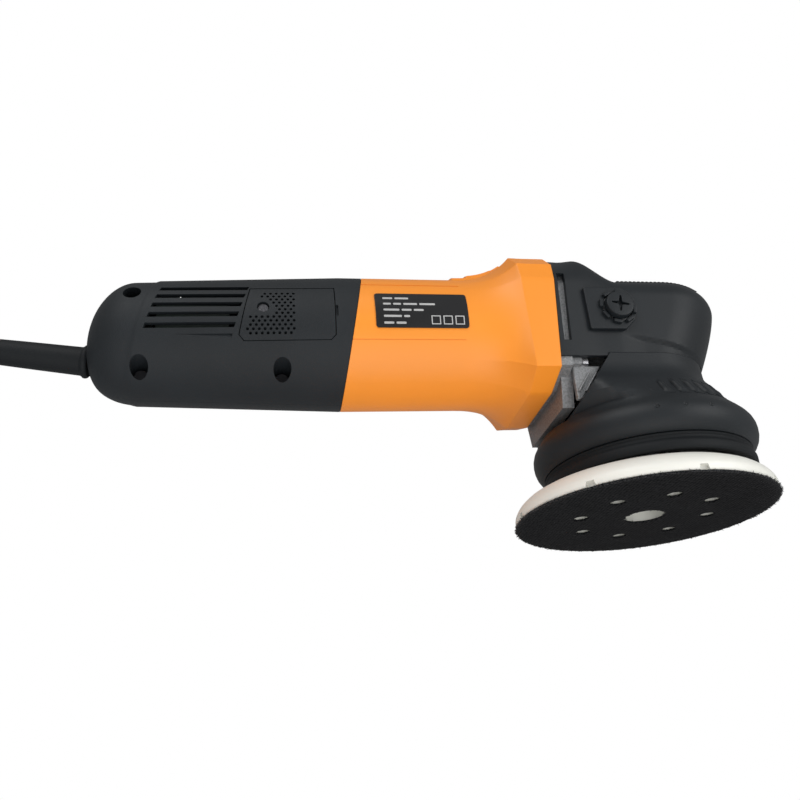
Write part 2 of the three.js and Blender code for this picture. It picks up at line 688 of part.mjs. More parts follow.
function bearingPlate() {
  const { z, outer, width } = LOWER_BEARING;
  return spunZ([
    [CASE_RADIUS, CASE_BOTTOM - 4.5],
    [CASE_RADIUS, CASE_BOTTOM - GAP],
    [CHAMBER_RADIUS - GAP, CASE_BOTTOM - GAP],
    [CHAMBER_RADIUS - GAP, z + width + 1.5],
    [outer - 4, z + width + 1.5],
    [outer - 4, z + width + GAP],
    [outer + GAP, z + width + GAP],
    [outer + GAP, CASE_BOTTOM - 4.5],
    [CASE_RADIUS, CASE_BOTTOM - 4.5],
  ]);
}

function bossPlateOutline() {
  const outline = [[-19, 14], [-19, -14.5], [3, -14.5], [10, -8], [12, 0], [11, 9], [5, 14]];
  return outline.map(([x, z]) => [HANDLE_X + x, HANDLE_Z + z]);
}

function headCover() {
  const everything = block([-FAR, FAR], [-FAR, FAR], [0, FAR]);
  const plates = slabY(bossPlateOutline(), [-HANDLE_FACE, HANDLE_FACE]);
  const shell = cut(join(coverForm(0), plates), coverForm(COVER_WALL));
  const behind = cut(everything, aheadOf(BAND_FRONT_X + GAP, BAND_LEAN));
  const below = block([-FAR, FAR], [-FAR, FAR], [0, COVER_BOTTOM]);
  const handleHoles = rodY([-FAR / 2, FAR / 2], HANDLE_BOSS + GAP, HANDLE_X, HANDLE_Z);
  const airSlots = mirrored((side) =>
    block([-51, -47], side < 0 ? [-FAR, -30] : [30, FAR], [MOTOR_Z - 14, MOTOR_Z + 24]),
  );
  return cut(shell, behind, below, handleHoles, ...airSlots);
}

function handlePlug(side) {
  const span = (from, to) => (side < 0 ? [-to, -from] : [from, to]);
  const stem = rodY(span(CASE_RADIUS, HANDLE_FACE + 2), HANDLE_BORE - GAP, HANDLE_X, HANDLE_Z, 16);
  const cap = rodY(span(HANDLE_FACE + GAP, HANDLE_FACE + 5), 8.5, HANDLE_X, HANDLE_Z);
  const deep = span(HANDLE_FACE + 3.5, HANDLE_FACE + 6);
  const across = block([HANDLE_X - 5.5, HANDLE_X + 5.5], deep, [HANDLE_Z - 0.8, HANDLE_Z + 0.8]);
  const upright = block([HANDLE_X - 0.8, HANDLE_X + 0.8], deep, [HANDLE_Z - 5.5, HANDLE_Z + 5.5]);
  return cut(join(stem, cap), across, upright);
}

function shroud() {
  const outer = shroudForm(0);
  const inner = shroudForm(SHROUD_WALL).reverse();
  const lip = [
    [SHROUD_NECK, SHROUD_TOP],
    [CASE_RADIUS + 0.6, SHROUD_TOP],
    [CASE_RADIUS + 0.6, SHROUD_TOP - 3],
    [SHROUD_NECK - SHROUD_WALL, SHROUD_TOP - 5],
  ];
  const shell = spunZ([...outer, ...lip, ...inner, outer[0]], 36);
  const rearOpening = block([-FAR, -41], [-FAR, FAR], [56, FAR]);
  const plateOutline = flangeOutline(0.98);
  const casePlate = hull([
    ...leaning(plateOutline, BAND_FRONT_X),
    ...leaning(plateOutline, BAND_FRONT_X + CASE_PLATE + CASE_PAD + GAP),
  ]);
  return cut(shell, rearOpening, casePlate);
}

function brakeSkirt() {
  const inner = SKIRT_RADIUS - 9;
  return spunZ([
    [inner, SKIRT_BOTTOM + 2],
    [SKIRT_RADIUS - 2, SKIRT_BOTTOM],
    [SKIRT_RADIUS, SKIRT_BOTTOM + 1.5],
    [SKIRT_RADIUS, SKIRT_BOTTOM + 5],
    [SKIRT_RADIUS - 1.8, SKIRT_BOTTOM + 7.2],
    [SKIRT_RADIUS - 1.8, SKIRT_TOP],
    [inner, SKIRT_TOP],
    [inner, SKIRT_BOTTOM + 2],
  ], 36);
}

// ---------------------------------------------------------------- motor
function armatureShaft() {
  return spunX([
    [REAR_BEARING.x - 2, 0],
    [REAR_BEARING.x - 2, REAR_BEARING.bore - GAP],
    [REAR_BEARING.x + REAR_BEARING.width + 2, REAR_BEARING.bore - GAP],
    [REAR_BEARING.x + REAR_BEARING.width + 2, SHAFT_RADIUS],
    [FRONT_BEARING.x - 2, SHAFT_RADIUS],
    [FRONT_BEARING.x - 2, FRONT_BEARING.bore - GAP],
    [PINION_REAR - 17, FRONT_BEARING.bore - GAP],
    [PINION_REAR - 17, PINION_BORE - GAP],
    [-21, PINION_BORE - GAP],
    [-21, 0],
  ], FINE);
}

function slotBars(width, from, to, [x0, x1]) {
  return atAngle((angle) => {
    const bar = new THREE.BoxGeometry(x1 - x0, width, to - from);
    bar.translate((x0 + x1) / 2, 0, (from + to) / 2).rotateX(angle);
    return toSolid(bar);
  }, CORE_SLOTS);
}

function armatureCore() {
  const core = spunX([
    [CORE_REAR, SHAFT_RADIUS + GAP],
    [CORE_REAR, CORE_RADIUS],
    [CORE_FRONT, CORE_RADIUS],
    [CORE_FRONT, SHAFT_RADIUS + GAP],
    [CORE_REAR, SHAFT_RADIUS + GAP],
  ], 36);
  return cut(core, ...slotBars(SLOT_WIDTH, SLOT_FLOOR, CORE_RADIUS + 6, [CORE_REAR - 5, CORE_FRONT + 5]));
}

function armatureWinding() {
  const dome = (from, to) => {
    const mid = (from + to) / 2;
    return spunX([
      [from, SHAFT_RADIUS + GAP],
      [from, WINDING_RADIUS],
      [mid, WINDING_RADIUS + 0.5],
      [to, SLOT_FLOOR],
      [to, SHAFT_RADIUS + GAP],
      [from, SHAFT_RADIUS + GAP],
    ], FINE);
  };
  const rear = dome(CORE_REAR - GAP, CORE_REAR - 17);
  const front = dome(CORE_FRONT + GAP, CORE_FRONT + 14);
  const length = [CORE_REAR - 2, CORE_FRONT + 2];
  const bars = slotBars(SLOT_WIDTH - 2 * GAP, SLOT_FLOOR + GAP, WINDING_RADIUS, length);
  return join(rear, front, ...bars);
}

function commutator() {
  const front = COMMUTATOR_REAR + COMMUTATOR_LENGTH;
  const drum = spunX([
    [COMMUTATOR_REAR, SHAFT_RADIUS + GAP],
    [COMMUTATOR_REAR, COMMUTATOR_RADIUS],
    [front, COMMUTATOR_RADIUS],
    [front, SHAFT_RADIUS + GAP],
    [COMMUTATOR_REAR, SHAFT_RADIUS + GAP],
  ], 32);
  const grooves = atAngle((angle) => {
    const groove = new THREE.BoxGeometry(COMMUTATOR_LENGTH - 4, 0.6, 3);
    groove.translate(COMMUTATOR_REAR + COMMUTATOR_LENGTH / 2 - 4, 0, COMMUTATOR_RADIUS).rotateX(angle);
    return toSolid(groove);
  }, 10);
  return cut(drum, ...grooves);
}

function fan() {
  const hub = rodX([FAN_REAR, FAN_FRONT], FAN_HUB);
  const plate = [FAN_FRONT - 3, FAN_FRONT - 0.5];
  const disc = spunX([[plate[0], 0], [plate[0], FAN_RADIUS], [plate[1], FAN_RADIUS], [plate[1], 0]], 32);
  const blades = atAngle((angle) => {
    const blade = new THREE.BoxGeometry(10, 1.6, FAN_RADIUS - FAN_HUB + 1);
    const out = (FAN_RADIUS + FAN_HUB - 3) / 2;
    blade.rotateX(0.35).translate(FAN_REAR + 5.5, 0, out).rotateX(angle);
    return toSolid(blade);
  }, FAN_BLADES);
  return cut(join(hub, disc, ...blades), rodX([-FAR, 0], SHAFT_RADIUS + GAP));
}

function stator() {
  const outer = HOUSING_BORE - GAP;
  const body = rodX([CORE_REAR, CORE_FRONT], outer, 0, 0, 32);
  const sector = poleSector(STATOR_BORE, POLE_ROOT + 0.1, Math.PI * 0.28, [CORE_REAR - 1, CORE_FRONT + 1]);
  const hollow = cut(rodX([-FAR, 0], POLE_ROOT, 0, 0, 32), ...sector);
  const bore = rodX([-FAR, 0], STATOR_BORE, 0, 0, 32);
  const { high } = SLIDER_STEM;
  const channel = block([-FAR, 0], [linkY() - 1, FAR], [SLIDER_RISE - high - 1, SLIDER_RISE + high + 1]);
  return cut(body, hollow, bore, channel);
}

// Two arc-shaped blocks, above and below the shaft.
function poleSector(inner, outer, halfAngle, [x0, x1]) {
  return mirrored((side) => {
    const shape = new THREE.Shape();
    const middle = (side * Math.PI) / 2;
    shape.absarc(0, 0, outer, middle - halfAngle, middle + halfAngle, false);
    shape.absarc(0, 0, inner, middle + halfAngle, middle - halfAngle, true);
    const options = { depth: x1 - x0, bevelEnabled: false, curveSegments: 8 };
    const geometry = new THREE.ExtrudeGeometry(shape, options);
    return toSolid(geometry.rotateX(Math.PI / 2).rotateZ(Math.PI / 2).translate(x0, 0, 0));
  });
}

function fieldCoils() {
  const length = [CORE_REAR - COIL_OVERHANG, CORE_FRONT + 8];
  const coils = poleSector(STATOR_BORE + 1, POLE_ROOT - 0.6, Math.PI * 0.46, length);
  const windows = poleSector(STATOR_BORE - 2, POLE_ROOT + 2, Math.PI * 0.3, [
    CORE_REAR - GAP,
    CORE_FRONT + GAP,
  ]);
  return coils.map((coil, i) => cut(coil, windows[i]));
}

function airBaffle() {
  const outer = HOUSING_BORE - GAP;
  const [rear, front] = [FAN_REAR - 7, FAN_REAR - 2];
  const eye = FAN_RADIUS - 6;
  return spunX([
    [rear, outer - 2],
    [rear, outer],
    [front, outer],
    [front, eye],
    [front - 2, eye],
    [front - 2, outer - 2],
    [rear, outer - 2],
  ]);
}

function brushHolder(side) {
  const near = COMMUTATOR_RADIUS + 2;
  const span = side < 0 ? [-BRUSH_REACH, -near] : [near, BRUSH_REACH];
  const tube = (grow) => {
    const [along, high] = [BRUSH_HALF.along + grow, BRUSH_HALF.high + grow];
    return block([BRUSH_X - along, BRUSH_X + along], grow > GAP ? span : [-FAR, FAR], [-high, high]);
  };
  return cut(tube(BRUSH_HOLDER_WALL), tube(GAP));
}

function carbonBrush(side) {
  const { along, high } = BRUSH_HALF;
  const [near, far] = [COMMUTATOR_RADIUS + GAP, BRUSH_REACH - 3];
  return block([BRUSH_X - along, BRUSH_X + along], side < 0 ? [-far, -near] : [near, far], [-high, high]);
}

function bearingSleeve() {
  const { x, outer, width } = REAR_BEARING;
  const end = x - 4;
  return spunX([
    [end, 0],
    [end, outer + 3],
    [x + width, outer + 3],
    [x + width, outer + GAP],
    [x - GAP, outer + GAP],
    [x - GAP, outer - 6],
    [x - 2.6, outer - 6],
    [x - 2.6, 0],
  ]);
}

// ---------------------------------------------------------------- controls
function speedDial() {
  const wheel = rodX([-DIAL_WIDTH / 2, DIAL_WIDTH / 2], DIAL_RADIUS, 0, 0, 30);
  const grooves = atAngle((angle) => {
    const groove = new THREE.BoxGeometry(DIAL_WIDTH + 1, 1, 1.2);
    return toSolid(groove.translate(0, 0, DIAL_RADIUS).rotateX(angle));
  }, 15);
  return join(cut(wheel, ...grooves), rodX([-DIAL_WIDTH / 2 - 4, DIAL_WIDTH / 2 + 4], DIAL_PIN, 0, 0, 12));
}

function speedController() {
  const board = block([REAR_X + 40.5, REAR_X + 80.5], [-28, -26], [MOTOR_Z - 17, MOTOR_Z + 10]);
  return join(board, block([REAR_X + 42.5, REAR_X + 74.5], [-26.5, -6], [MOTOR_Z - 14, MOTOR_Z + 7]));
}

function switchBody() {
  const side = linkY() - 3 - 2 * GAP;
  const box = block([REAR_X + 42.5, REAR_X + 76.5], [6, side], [MOTOR_Z - 8, MOTOR_Z + 15]);
  return join(box, block([REAR_X + 42.5, REAR_X + 46.5], [2, 7], [MOTOR_Z - 4, MOTOR_Z + 2]));
}

// The slider's link lies in a channel between the stator and the housing.
function linkY() {
  return HOUSING_BORE - 5.7;
}

function switchSlider() {
  const z = MOTOR_Z + SLIDER_RISE;
  const under = HOUSING_RADIUS + GAP;
  const { half, high } = SLIDER_STEM;
  const section = [[0, -6], [1.8, -6], [3.2, -4.5], [3.2, 4.5], [1.8, 6], [0, 6]];
  const cap = slabX(section.map(([y, up]) => [under + y, up]), [SLIDER_X - 14, SLIDER_X + 10], z);
  const ridges = [-9, -5, -1, 3].map((x) =>
    block([SLIDER_X + x, SLIDER_X + x + 1.5], [under + 1, under + 4.2], [z - 4.5, z + 4.5]),
  );
  const stemY = [linkY() + LINK_THICKNESS + 0.8, under + 1];
  const stem = block([SLIDER_X - half, SLIDER_X + half], stemY, [z - high + GAP, z + high - GAP]);
  return join(cap, stem, ...ridges);
}

function switchLink() {
  const z = MOTOR_Z + SLIDER_RISE;
  const high = [z - 2.5, z + 2.5];
  const outer = [linkY(), linkY() + LINK_THICKNESS];
  const inner = [linkY() - 3, linkY() - 3 + LINK_THICKNESS];
  const jog = CORE_REAR - COIL_OVERHANG - SLIDER_TRAVEL - 3;
  const front = block([jog - 2, SLIDER_X + 3], outer, high);
  const rear = block([REAR_X + 58.5, jog], inner, high);
  return join(front, rear, block([jog - 4, jog], [inner[0], outer[1]], high));
}

// ---------------------------------------------------------------- bevel gears
// The cones of both gears meet where the motor axis crosses the spindle axis.
const PINION_RADIUS = (MODULE * PINION_TEETH) / 2;
const GEAR_RADIUS = (MODULE * GEAR_TEETH) / 2;
const ADDENDUM = 0.75 * MODULE;
const DEDENDUM = 1.15 * MODULE;
const FACE_SHARE = 1 - GEAR_FACE / Math.hypot(PINION_RADIUS, GEAR_RADIUS);

// One straight tooth: its outer section, and the same section drawn in towards the apex.
function bevelTooth(section) {
  return [...section, ...section.map((point) => point.clone().multiplyScalar(FACE_SHARE))];
}

// Section corners as [height above the pitch line, share of the tooth pitch to each side].
const TOOTH = [[ADDENDUM, 0.12], [-DEDENDUM - 0.4, 0.28]];

function bevelGear() {
  const tooth = (angle) => {
    const section = TOOTH.flatMap(([rise, share]) =>
      [-share, share].map((turn) => {
        const at = angle + (turn * 2 * Math.PI) / GEAR_TEETH;
        return new THREE.Vector3(
          GEAR_RADIUS * Math.cos(at),
          GEAR_RADIUS * Math.sin(at),
          -PINION_RADIUS + rise,
        );
      }),
    );
    return hull(bevelTooth(section));
  };
  const root = -PINION_RADIUS - DEDENDUM;
  const blank = spunZ([
    [SPINDLE_RADIUS + GAP, -16],
    [14, -16],
    [GEAR_RADIUS - 4, root - 4],
    [GEAR_RADIUS, root - 2],
    [GEAR_RADIUS, root],
    [GEAR_RADIUS * FACE_SHARE, root * FACE_SHARE],
    [GEAR_RADIUS * FACE_SHARE - 2, root],
    [SPINDLE_RADIUS + GAP, root],
    [SPINDLE_RADIUS + GAP, -16],
  ], GEAR_TEETH / 2);
  // A gap between two teeth faces the pinion.
  const start = Math.PI + Math.PI / GEAR_TEETH;
  return join(blank, ...atAngle(tooth, GEAR_TEETH, start));
}

function pinion() {
  const tooth = (angle) => {
    const section = TOOTH.flatMap(([rise, share]) =>
      [-share, share].map((turn) => {
        const at = angle + (turn * 2 * Math.PI) / PINION_TEETH;
        const radius = PINION_RADIUS + rise;
        return new THREE.Vector3(-GEAR_RADIUS, radius * Math.sin(at), -radius * Math.cos(at));
      }),
    );
    return hull(bevelTooth(section));
  };
  const root = PINION_RADIUS - DEDENDUM;
  const blank = spunX([
    [PINION_REAR, PINION_BORE],
    [PINION_REAR, PINION_COLLAR],
    [-GEAR_RADIUS - 3, PINION_COLLAR],
    [-GEAR_RADIUS, root + 0.2],
    [-GEAR_RADIUS * FACE_SHARE, root * FACE_SHARE],
    [-GEAR_RADIUS * FACE_SHARE, PINION_BORE],
    [PINION_REAR, PINION_BORE],
  ], FINE);
  return cut(join(blank, ...atAngle(tooth, PINION_TEETH)), rodX([-FAR, 0], PINION_BORE));
}

// ---------------------------------------------------------------- spindle and pad
function spindle() {
  const shaft = spunZ([
    [0, CUP_HIGH - 3],
    [SPINDLE_RADIUS, CUP_HIGH - 3],
    [SPINDLE_RADIUS, UPPER_BEARING.z - 1.5],
    [UPPER_BEARING.bore - GAP, UPPER_BEARING.z - 1.5],
    [UPPER_BEARING.bore - GAP, UPPER_BEARING.z + UPPER_BEARING.width],
    [0, UPPER_BEARING.z + UPPER_BEARING.width],
  ], FINE);
  const shoulder = rodZ([CUP_HIGH - 1, LOWER_BEARING.z - 1], 10);
  const cup = rodZ([CUP_LOW, CUP_HIGH], CUP_RADIUS, -ORBIT, 0, ROUND);
  const seatTop = ORBIT_BEARING.high + ORBIT_BEARING.width + GAP;
  const seat = rodZ([0, seatTop], ORBIT_BEARING.outer + GAP, -ORBIT, 0, ROUND);
  return cut(join(shaft, shoulder, cup), seat);
}

function counterweight() {
  const disc = rodZ([WEIGHT_LOW, WEIGHT_HIGH], WEIGHT_RADIUS, 0, 0, 32);
  const keepFront = block([2, FAR], [-FAR, FAR], [0, FAR]);
  const round = rodZ([0, FAR], CUP_RADIUS + GAP, -ORBIT, 0, ROUND);
  const lug = block([2, 12], [-20, 20], [WEIGHT_LOW, WEIGHT_HIGH]);
  return cut(join(disc.intersect(keepFront), lug), round);
}

function padArbor() {
  const flange = rodZ([PLATE_HUB_TOP + GAP, PLATE_HUB_TOP + 5], 11, 0, 0, 6);
  const shaft = rodZ([PLATE_HUB_TOP + 4, ORBIT_BEARING.high + ORBIT_BEARING.width], ORBIT_BEARING.bore - GAP);
  return cut(join(flange, shaft), rodZ([0, PAD_BOLT_TOP + 4], PAD_BOLT_RADIUS + GAP, 0, 0, 16));
}

function padBolt() {
  const head = rodZ([PLATE_WEB - 6, PLATE_WEB - GAP], 6.5, 0, 0, 16);
  const socket = rodZ([0, PLATE_WEB - 2.5], 3, 0, 0, 6);
  return cut(join(head, rodZ([PLATE_WEB - 1, PAD_BOLT_TOP], PAD_BOLT_RADIUS, 0, 0, 16)), socket);
}

function padHoles(radius) {
  return atAngle((angle) => {
    const [x, y] = [PAD_HOLE_CIRCLE * Math.cos(angle), PAD_HOLE_CIRCLE * Math.sin(angle)];
    return rodZ([-1, PLATE_TOP + 2], radius, x, y, 8);
  }, PAD_HOLES);
}

function backingPlate() {
  const low = HOOK_THICKNESS + GAP;
  const plate = spunZ([
    [PAD_CENTRE_HOLE, low],
    [PAD_RADIUS - 0.5, low],
    [PAD_RADIUS, low + 1.5],
    [PAD_RADIUS - 1.5, 8.5],
    [PAD_RADIUS - 6, 13],
    [PAD_RADIUS - 15, 16.3],
    [PAD_RADIUS - 30, PLATE_TOP],
    [PLATE_HUB_RADIUS + 3, PLATE_TOP],
    [PLATE_HUB_RADIUS, PLATE_HUB_TOP],
    [PAD_BOLT_RADIUS + GAP, PLATE_HUB_TOP],
    [PAD_BOLT_RADIUS + GAP, PLATE_WEB],
    [PAD_CENTRE_HOLE, PLATE_WEB],
    [PAD_CENTRE_HOLE, low],
  ], 36);
  return cut(plate, ...padHoles(PAD_HOLE_RADIUS));
}

function hookDisc() {
  const disc = spunZ(ringProfile(PAD_CENTRE_HOLE, PAD_RADIUS, 0, HOOK_THICKNESS), 36);
  return cut(disc, ...padHoles(PAD_HOLE_RADIUS));
}

// ---------------------------------------------------------------- assembly
function addCasing() {
  piece("casing_right", casingHalf(-1), BLACK_PLASTIC);
  piece("casing_left", casingHalf(1), BLACK_PLASTIC);
  CASING_SCREWS.forEach((at, i) => piece("casing_screw_" + (i + 1), casingScrew(at), DARK_STEEL));
  piece("brush_hatch_right", brushHatch(-1), BLACK_PLASTIC);
  piece("brush_hatch_left", brushHatch(1), BLACK_PLASTIC);
  piece("hatch_screw_right", hatchScrew(-1), DARK_STEEL);
  piece("hatch_screw_left", hatchScrew(1), DARK_STEEL);
  piece("motor_housing", motorHousing(), ORANGE_PLASTIC);
  piece("rating_label", ratingLabel(), LABEL_FILM);
}

function addHead() {
  piece("gear_case", gearCase(), CAST_ALUMINIUM);
  piece("case_screw_right", caseScrew(CASE_SCREWS[0]), STEEL);
  piece("case_screw_left", caseScrew(CASE_SCREWS[1]), STEEL);
  piece("bearing_plate", bearingPlate(), CAST_ALUMINIUM);
  piece("head_cover", headCover(), BLACK_PLASTIC);
  piece("handle_plug_right", handlePlug(-1), BLACK_PLASTIC);
  piece("handle_plug_left", handlePlug(1), BLACK_PLASTIC);
  piece("shroud", shroud(), BLACK_PLASTIC);
  piece("brake_skirt", brakeSkirt(), RUBBER);
}

function addLead() {
  piece("cord_guard", cordGuard(), RUBBER);
  piece("cord_clamp", cordClamp(), BLACK_PLASTIC);
  piece("cord_lead", cordLead(), RUBBER);
  piece("cord_coil", cordCoil(), RUBBER).position.copy(COIL_CENTRE);
  piece("cord_tie", cordTie(), RUBBER).position.copy(COIL_CENTRE);
  piece("mains_plug", mainsPlug(), RUBBER).position.copy(PLUG_AT);
}

function addMotor() {
  piece("armature_shaft", armatureShaft(), STEEL, motorLine);
  piece("armature_core", armatureCore(), DARK_STEEL, motorLine);
  piece("armature_winding", armatureWinding(), COPPER, motorLine);
  piece("commutator", commutator(), COPPER, motorLine);
  piece("fan", fan(), BLACK_PLASTIC, motorLine);
  piece("pinion", pinion(), STEEL, motorLine);
  const turned = (p) => p.map(([radius, x]) => [x, radius]);
  piece("rear_bearing", spunX(turned(bearing(REAR_BEARING)), FINE), STEEL, motorLine).position.x =
    REAR_BEARING.x;
  piece("front_bearing", spunX(turned(bearing(FRONT_BEARING)), FINE), STEEL, motorLine).position.x =
    FRONT_BEARING.x;
  piece("stator", stator(), DARK_STEEL, motorLine);
  const [lower, upper] = fieldCoils();
  piece("field_coil_lower", lower, COPPER, motorLine);
  piece("field_coil_upper", upper, COPPER, motorLine);
  piece("air_baffle", airBaffle(), BLACK_PLASTIC, motorLine);
  piece("brush_holder_right", brushHolder(-1), COPPER, motorLine);
  piece("brush_holder_left", brushHolder(1), COPPER, motorLine);
  piece("carbon_brush_right", carbonBrush(-1), CARBON, motorLine);
  piece("carbon_brush_left", carbonBrush(1), CARBON, motorLine);
  piece("bearing_sleeve", bearingSleeve(), RUBBER, motorLine);
}

function addControls() {
  const dial = piece("speed_dial", speedDial(), BLACK_PLASTIC);
  dial.position.set(DIAL_X, 0, MOTOR_Z + casingRadius(DIAL_X) + DIAL_PROUD - DIAL_RADIUS);
  piece("speed_controller", speedController(), GREEN_BOARD);
  piece("switch_body", switchBody(), BLACK_PLASTIC);
  piece("switch_slider", switchSlider(), BLACK_PLASTIC);
  piece("switch_link", switchLink(), WHITE_PLASTIC);
}

function addSpindle() {
  piece("bevel_gear", bevelGear(), STEEL).position.z = MOTOR_Z;
  piece("spindle", spindle(), STEEL);
  piece("counterweight", counterweight(), DARK_STEEL);
  piece("upper_spindle_bearing", spunZ(bearing(UPPER_BEARING), FINE), STEEL).position.z = UPPER_BEARING.z;
  piece("lower_spindle_bearing", spunZ(bearing(LOWER_BEARING), FINE), STEEL).position.z = LOWER_BEARING.z;
  for (const level of ["low", "high"]) {
    const race = piece("orbit_bearing_" + level, spunZ(bearing(ORBIT_BEARING), FINE), STEEL, padLine);
    race.position.z = ORBIT_BEARING[level];
  }
  piece("pad_arbor", padArbor(), STEEL, padLine);
  piece("pad_bolt", padBolt(), DARK_STEEL, padLine);
  piece("backing_plate", backingPlate(), WHITE_PLASTIC, padLine);
  piece("hook_disc", hookDisc(), HOOK_FABRIC, padLine);
}

addCasing();
addHead();
addLead();
addMotor();
addControls();
addSpindle();

// The frame's origin is under the middle of the machine, on the surface it stands on.
const NOSE_X = Math.max(NOSE_CENTRE_X + COVER_HALF, PAD_RADIUS - ORBIT);
group.position.x = -(REAR_X + NOSE_X) / 2;

export default group;
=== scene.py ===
"""Finished look of a dual action polisher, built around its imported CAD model."""

import math
import random

import bmesh
import bpy
from mathutils import Matrix, Vector


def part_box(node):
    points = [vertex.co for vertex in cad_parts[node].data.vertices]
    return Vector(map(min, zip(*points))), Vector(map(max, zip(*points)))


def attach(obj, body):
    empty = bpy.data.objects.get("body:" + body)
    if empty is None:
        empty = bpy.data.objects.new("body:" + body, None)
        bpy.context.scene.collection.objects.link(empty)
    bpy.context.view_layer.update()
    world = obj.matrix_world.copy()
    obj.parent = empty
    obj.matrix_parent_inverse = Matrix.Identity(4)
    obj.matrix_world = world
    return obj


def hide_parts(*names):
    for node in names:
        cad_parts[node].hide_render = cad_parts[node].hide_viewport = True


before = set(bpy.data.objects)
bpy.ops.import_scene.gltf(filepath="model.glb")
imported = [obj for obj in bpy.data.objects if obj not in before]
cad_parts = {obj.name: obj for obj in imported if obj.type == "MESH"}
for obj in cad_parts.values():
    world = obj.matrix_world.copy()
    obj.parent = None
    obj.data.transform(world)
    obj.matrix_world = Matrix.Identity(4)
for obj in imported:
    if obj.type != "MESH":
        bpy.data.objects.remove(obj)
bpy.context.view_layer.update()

bl_info = {
    "name": "Dual Action Polisher",
    "version": (1, 0, 0),
    "blender": (4, 5, 0),
    "location": "3D View > Sidebar > Polisher",
    "description": "Builds the outer pieces, lead and stage of a dual action polisher",
    "category": "Object",
}

# --- the working frame
# Forms are made in millimetres about the spindle axis, with z = 0 at the pad's face.
MM = 0.001


def middle(node):
    """The middle of a CAD node's box, in metres."""
    low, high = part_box(node)
    return (low + high) / 2


SPINDLE_X = middle("upper_spindle_bearing").x
MOTOR_Z = middle("rear_bearing").z / MM
PAD_X = (middle("hook_disc").x - SPINDLE_X) / MM
REAR_X = (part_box("casing_right")[0].x - SPINDLE_X) / MM
HANDLE_X = (middle("handle_plug_right").x - SPINDLE_X) / MM
HANDLE_Z = middle("handle_plug_right").z / MM
HANDLE_TOP = -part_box("handle_plug_right")[0].y / MM
TO_FRAME = Matrix.Translation((SPINDLE_X, 0, 0)) @ Matrix.Scale(MM, 4)
FAR = 400.0
RIGHT, LEFT = -1, 1
SIDES = (RIGHT, LEFT)

HOUSING_RADIUS = 40.5
HOUSING_BORE = 37.3
CASING_REAR_RADIUS = 36.5
CASING_WALL = 2.8
CASING_DOME = 28.0
CASING_DROOP = 7.0
JOINT_X = -174.6
JOINT_LEAN = 0.18
JOINT_GAP = 0.15
SEAM_GAP = 0.08
FLARE_X = -112.0
BAND_REAR_X = -77.5
BAND_FRONT_X = -57.5
BAND_LEAN = 0.083
BAND_REAR_LEAN = -0.02
FLANGE_HALF = 45.5


def beyond(side, near):
    """The span of y outwards from a distance, on one side of the machine."""
    return (-FAR, -near) if side < 0 else (near, FAR)


def between(side, near, far):
    """The span of y between two distances, on one side of the machine."""
    return sorted((side * near, side * far))


def side_name(side):
    return "right" if side < 0 else "left"


def lerp(a, b, t):
    return a + (b - a) * t


def clipped(t):
    return min(1.0, max(0.0, t))


def ease(t):
    t = clipped(t)
    return t * t * (3 - 2 * t)


def turns(count, shift=0.0):
    """Even steps of a full turn, shifted by a share of one step."""
    return [math.tau * (k + shift) / count for k in range(count)]


# --- forms
def grid_form(across, along, place, closed=True):
    """A sheet of quads whose points are put in place by their two shares, 0 to 1."""
    form = bmesh.new()
    bmesh.ops.create_grid(form, x_segments=across, y_segments=along, size=0.5)
    for v in form.verts:
        v.co = place(v.co.x + 0.5, v.co.y + 0.5)
    if closed:
        bmesh.ops.remove_doubles(form, verts=form.verts, dist=1e-3)
    return form


def ring_form(rings, closed=False):
    """A skin over rings of points with equal counts, round each ring and back to the first."""
    rows = rings + [rings[0]] if closed else rings
    count = len(rows[0])

    def place(u, v):
        return Vector(rows[round(v * (len(rows) - 1))][round(u * count) % count])

    return grid_form(count, len(rows) - 1, place)


def turned(profile, steps=96, axis="Z", centre=(0, 0, 0)):
    """A full turn of a profile of [radius, height] pairs about an axis through the centre."""
    form = bmesh.new()
    points = [
        (r, 0, h) if axis == "Z" else ((h, 0, r) if axis == "X" else (r, h, 0))
        for r, h in profile
    ]
    verts = [form.verts.new(p) for p in points]
    edges = [form.edges.new(pair) for pair in zip(verts, verts[1:])]
    about = {"X": (1, 0, 0), "Y": (0, 1, 0), "Z": (0, 0, 1)}[axis]
    bmesh.ops.spin(
        form,
        geom=verts + edges,
        cent=(0, 0, 0),
        axis=about,
        angle=math.tau,
        steps=steps,
        use_merge=True,
        use_duplicate=False,
    )
    bmesh.ops.remove_doubles(form, verts=form.verts, dist=1e-4)
    bmesh.ops.translate(form, verts=form.verts, vec=Vector(centre))
    bmesh.ops.recalc_face_normals(form, faces=form.faces)
    return form


def closed_profile(points):
    """A profile that returns to its first point."""
    return points + [points[0]]


def block(xs, ys, zs):
    """A box between three pairs of limits."""
    form = bmesh.new()
    bmesh.ops.create_cube(form, size=1)
    middles = [(a + b) / 2 for a, b in (xs, ys, zs)]
    bmesh.ops.scale(form, verts=form.verts, vec=[b - a for a, b in (xs, ys, zs)])
    bmesh.ops.translate(form, verts=form.verts, vec=middles)
    return form


def rod(axis, span, radius, centre=(0, 0, 0), steps=32):
    """A solid rod along an axis, with flat ends."""
    low, high = span
    return turned([(0, low), (radius, low), (radius, high), (0, high)], steps, axis, centre)


def plate(outline, depth):
    """An outline of [x, z] points pushed through a depth along y."""
    form = bmesh.new()
    low, high = depth
    face = form.faces.new([form.verts.new((x, low, z)) for x, z in outline])
    out = bmesh.ops.extrude_face_region(form, geom=[face])
    far_end = [g for g in out["geom"] if isinstance(g, bmesh.types.BMVert)]
    bmesh.ops.translate(form, verts=far_end, vec=(0, high - low, 0))
    bmesh.ops.recalc_face_normals(form, faces=form.faces)
    return form


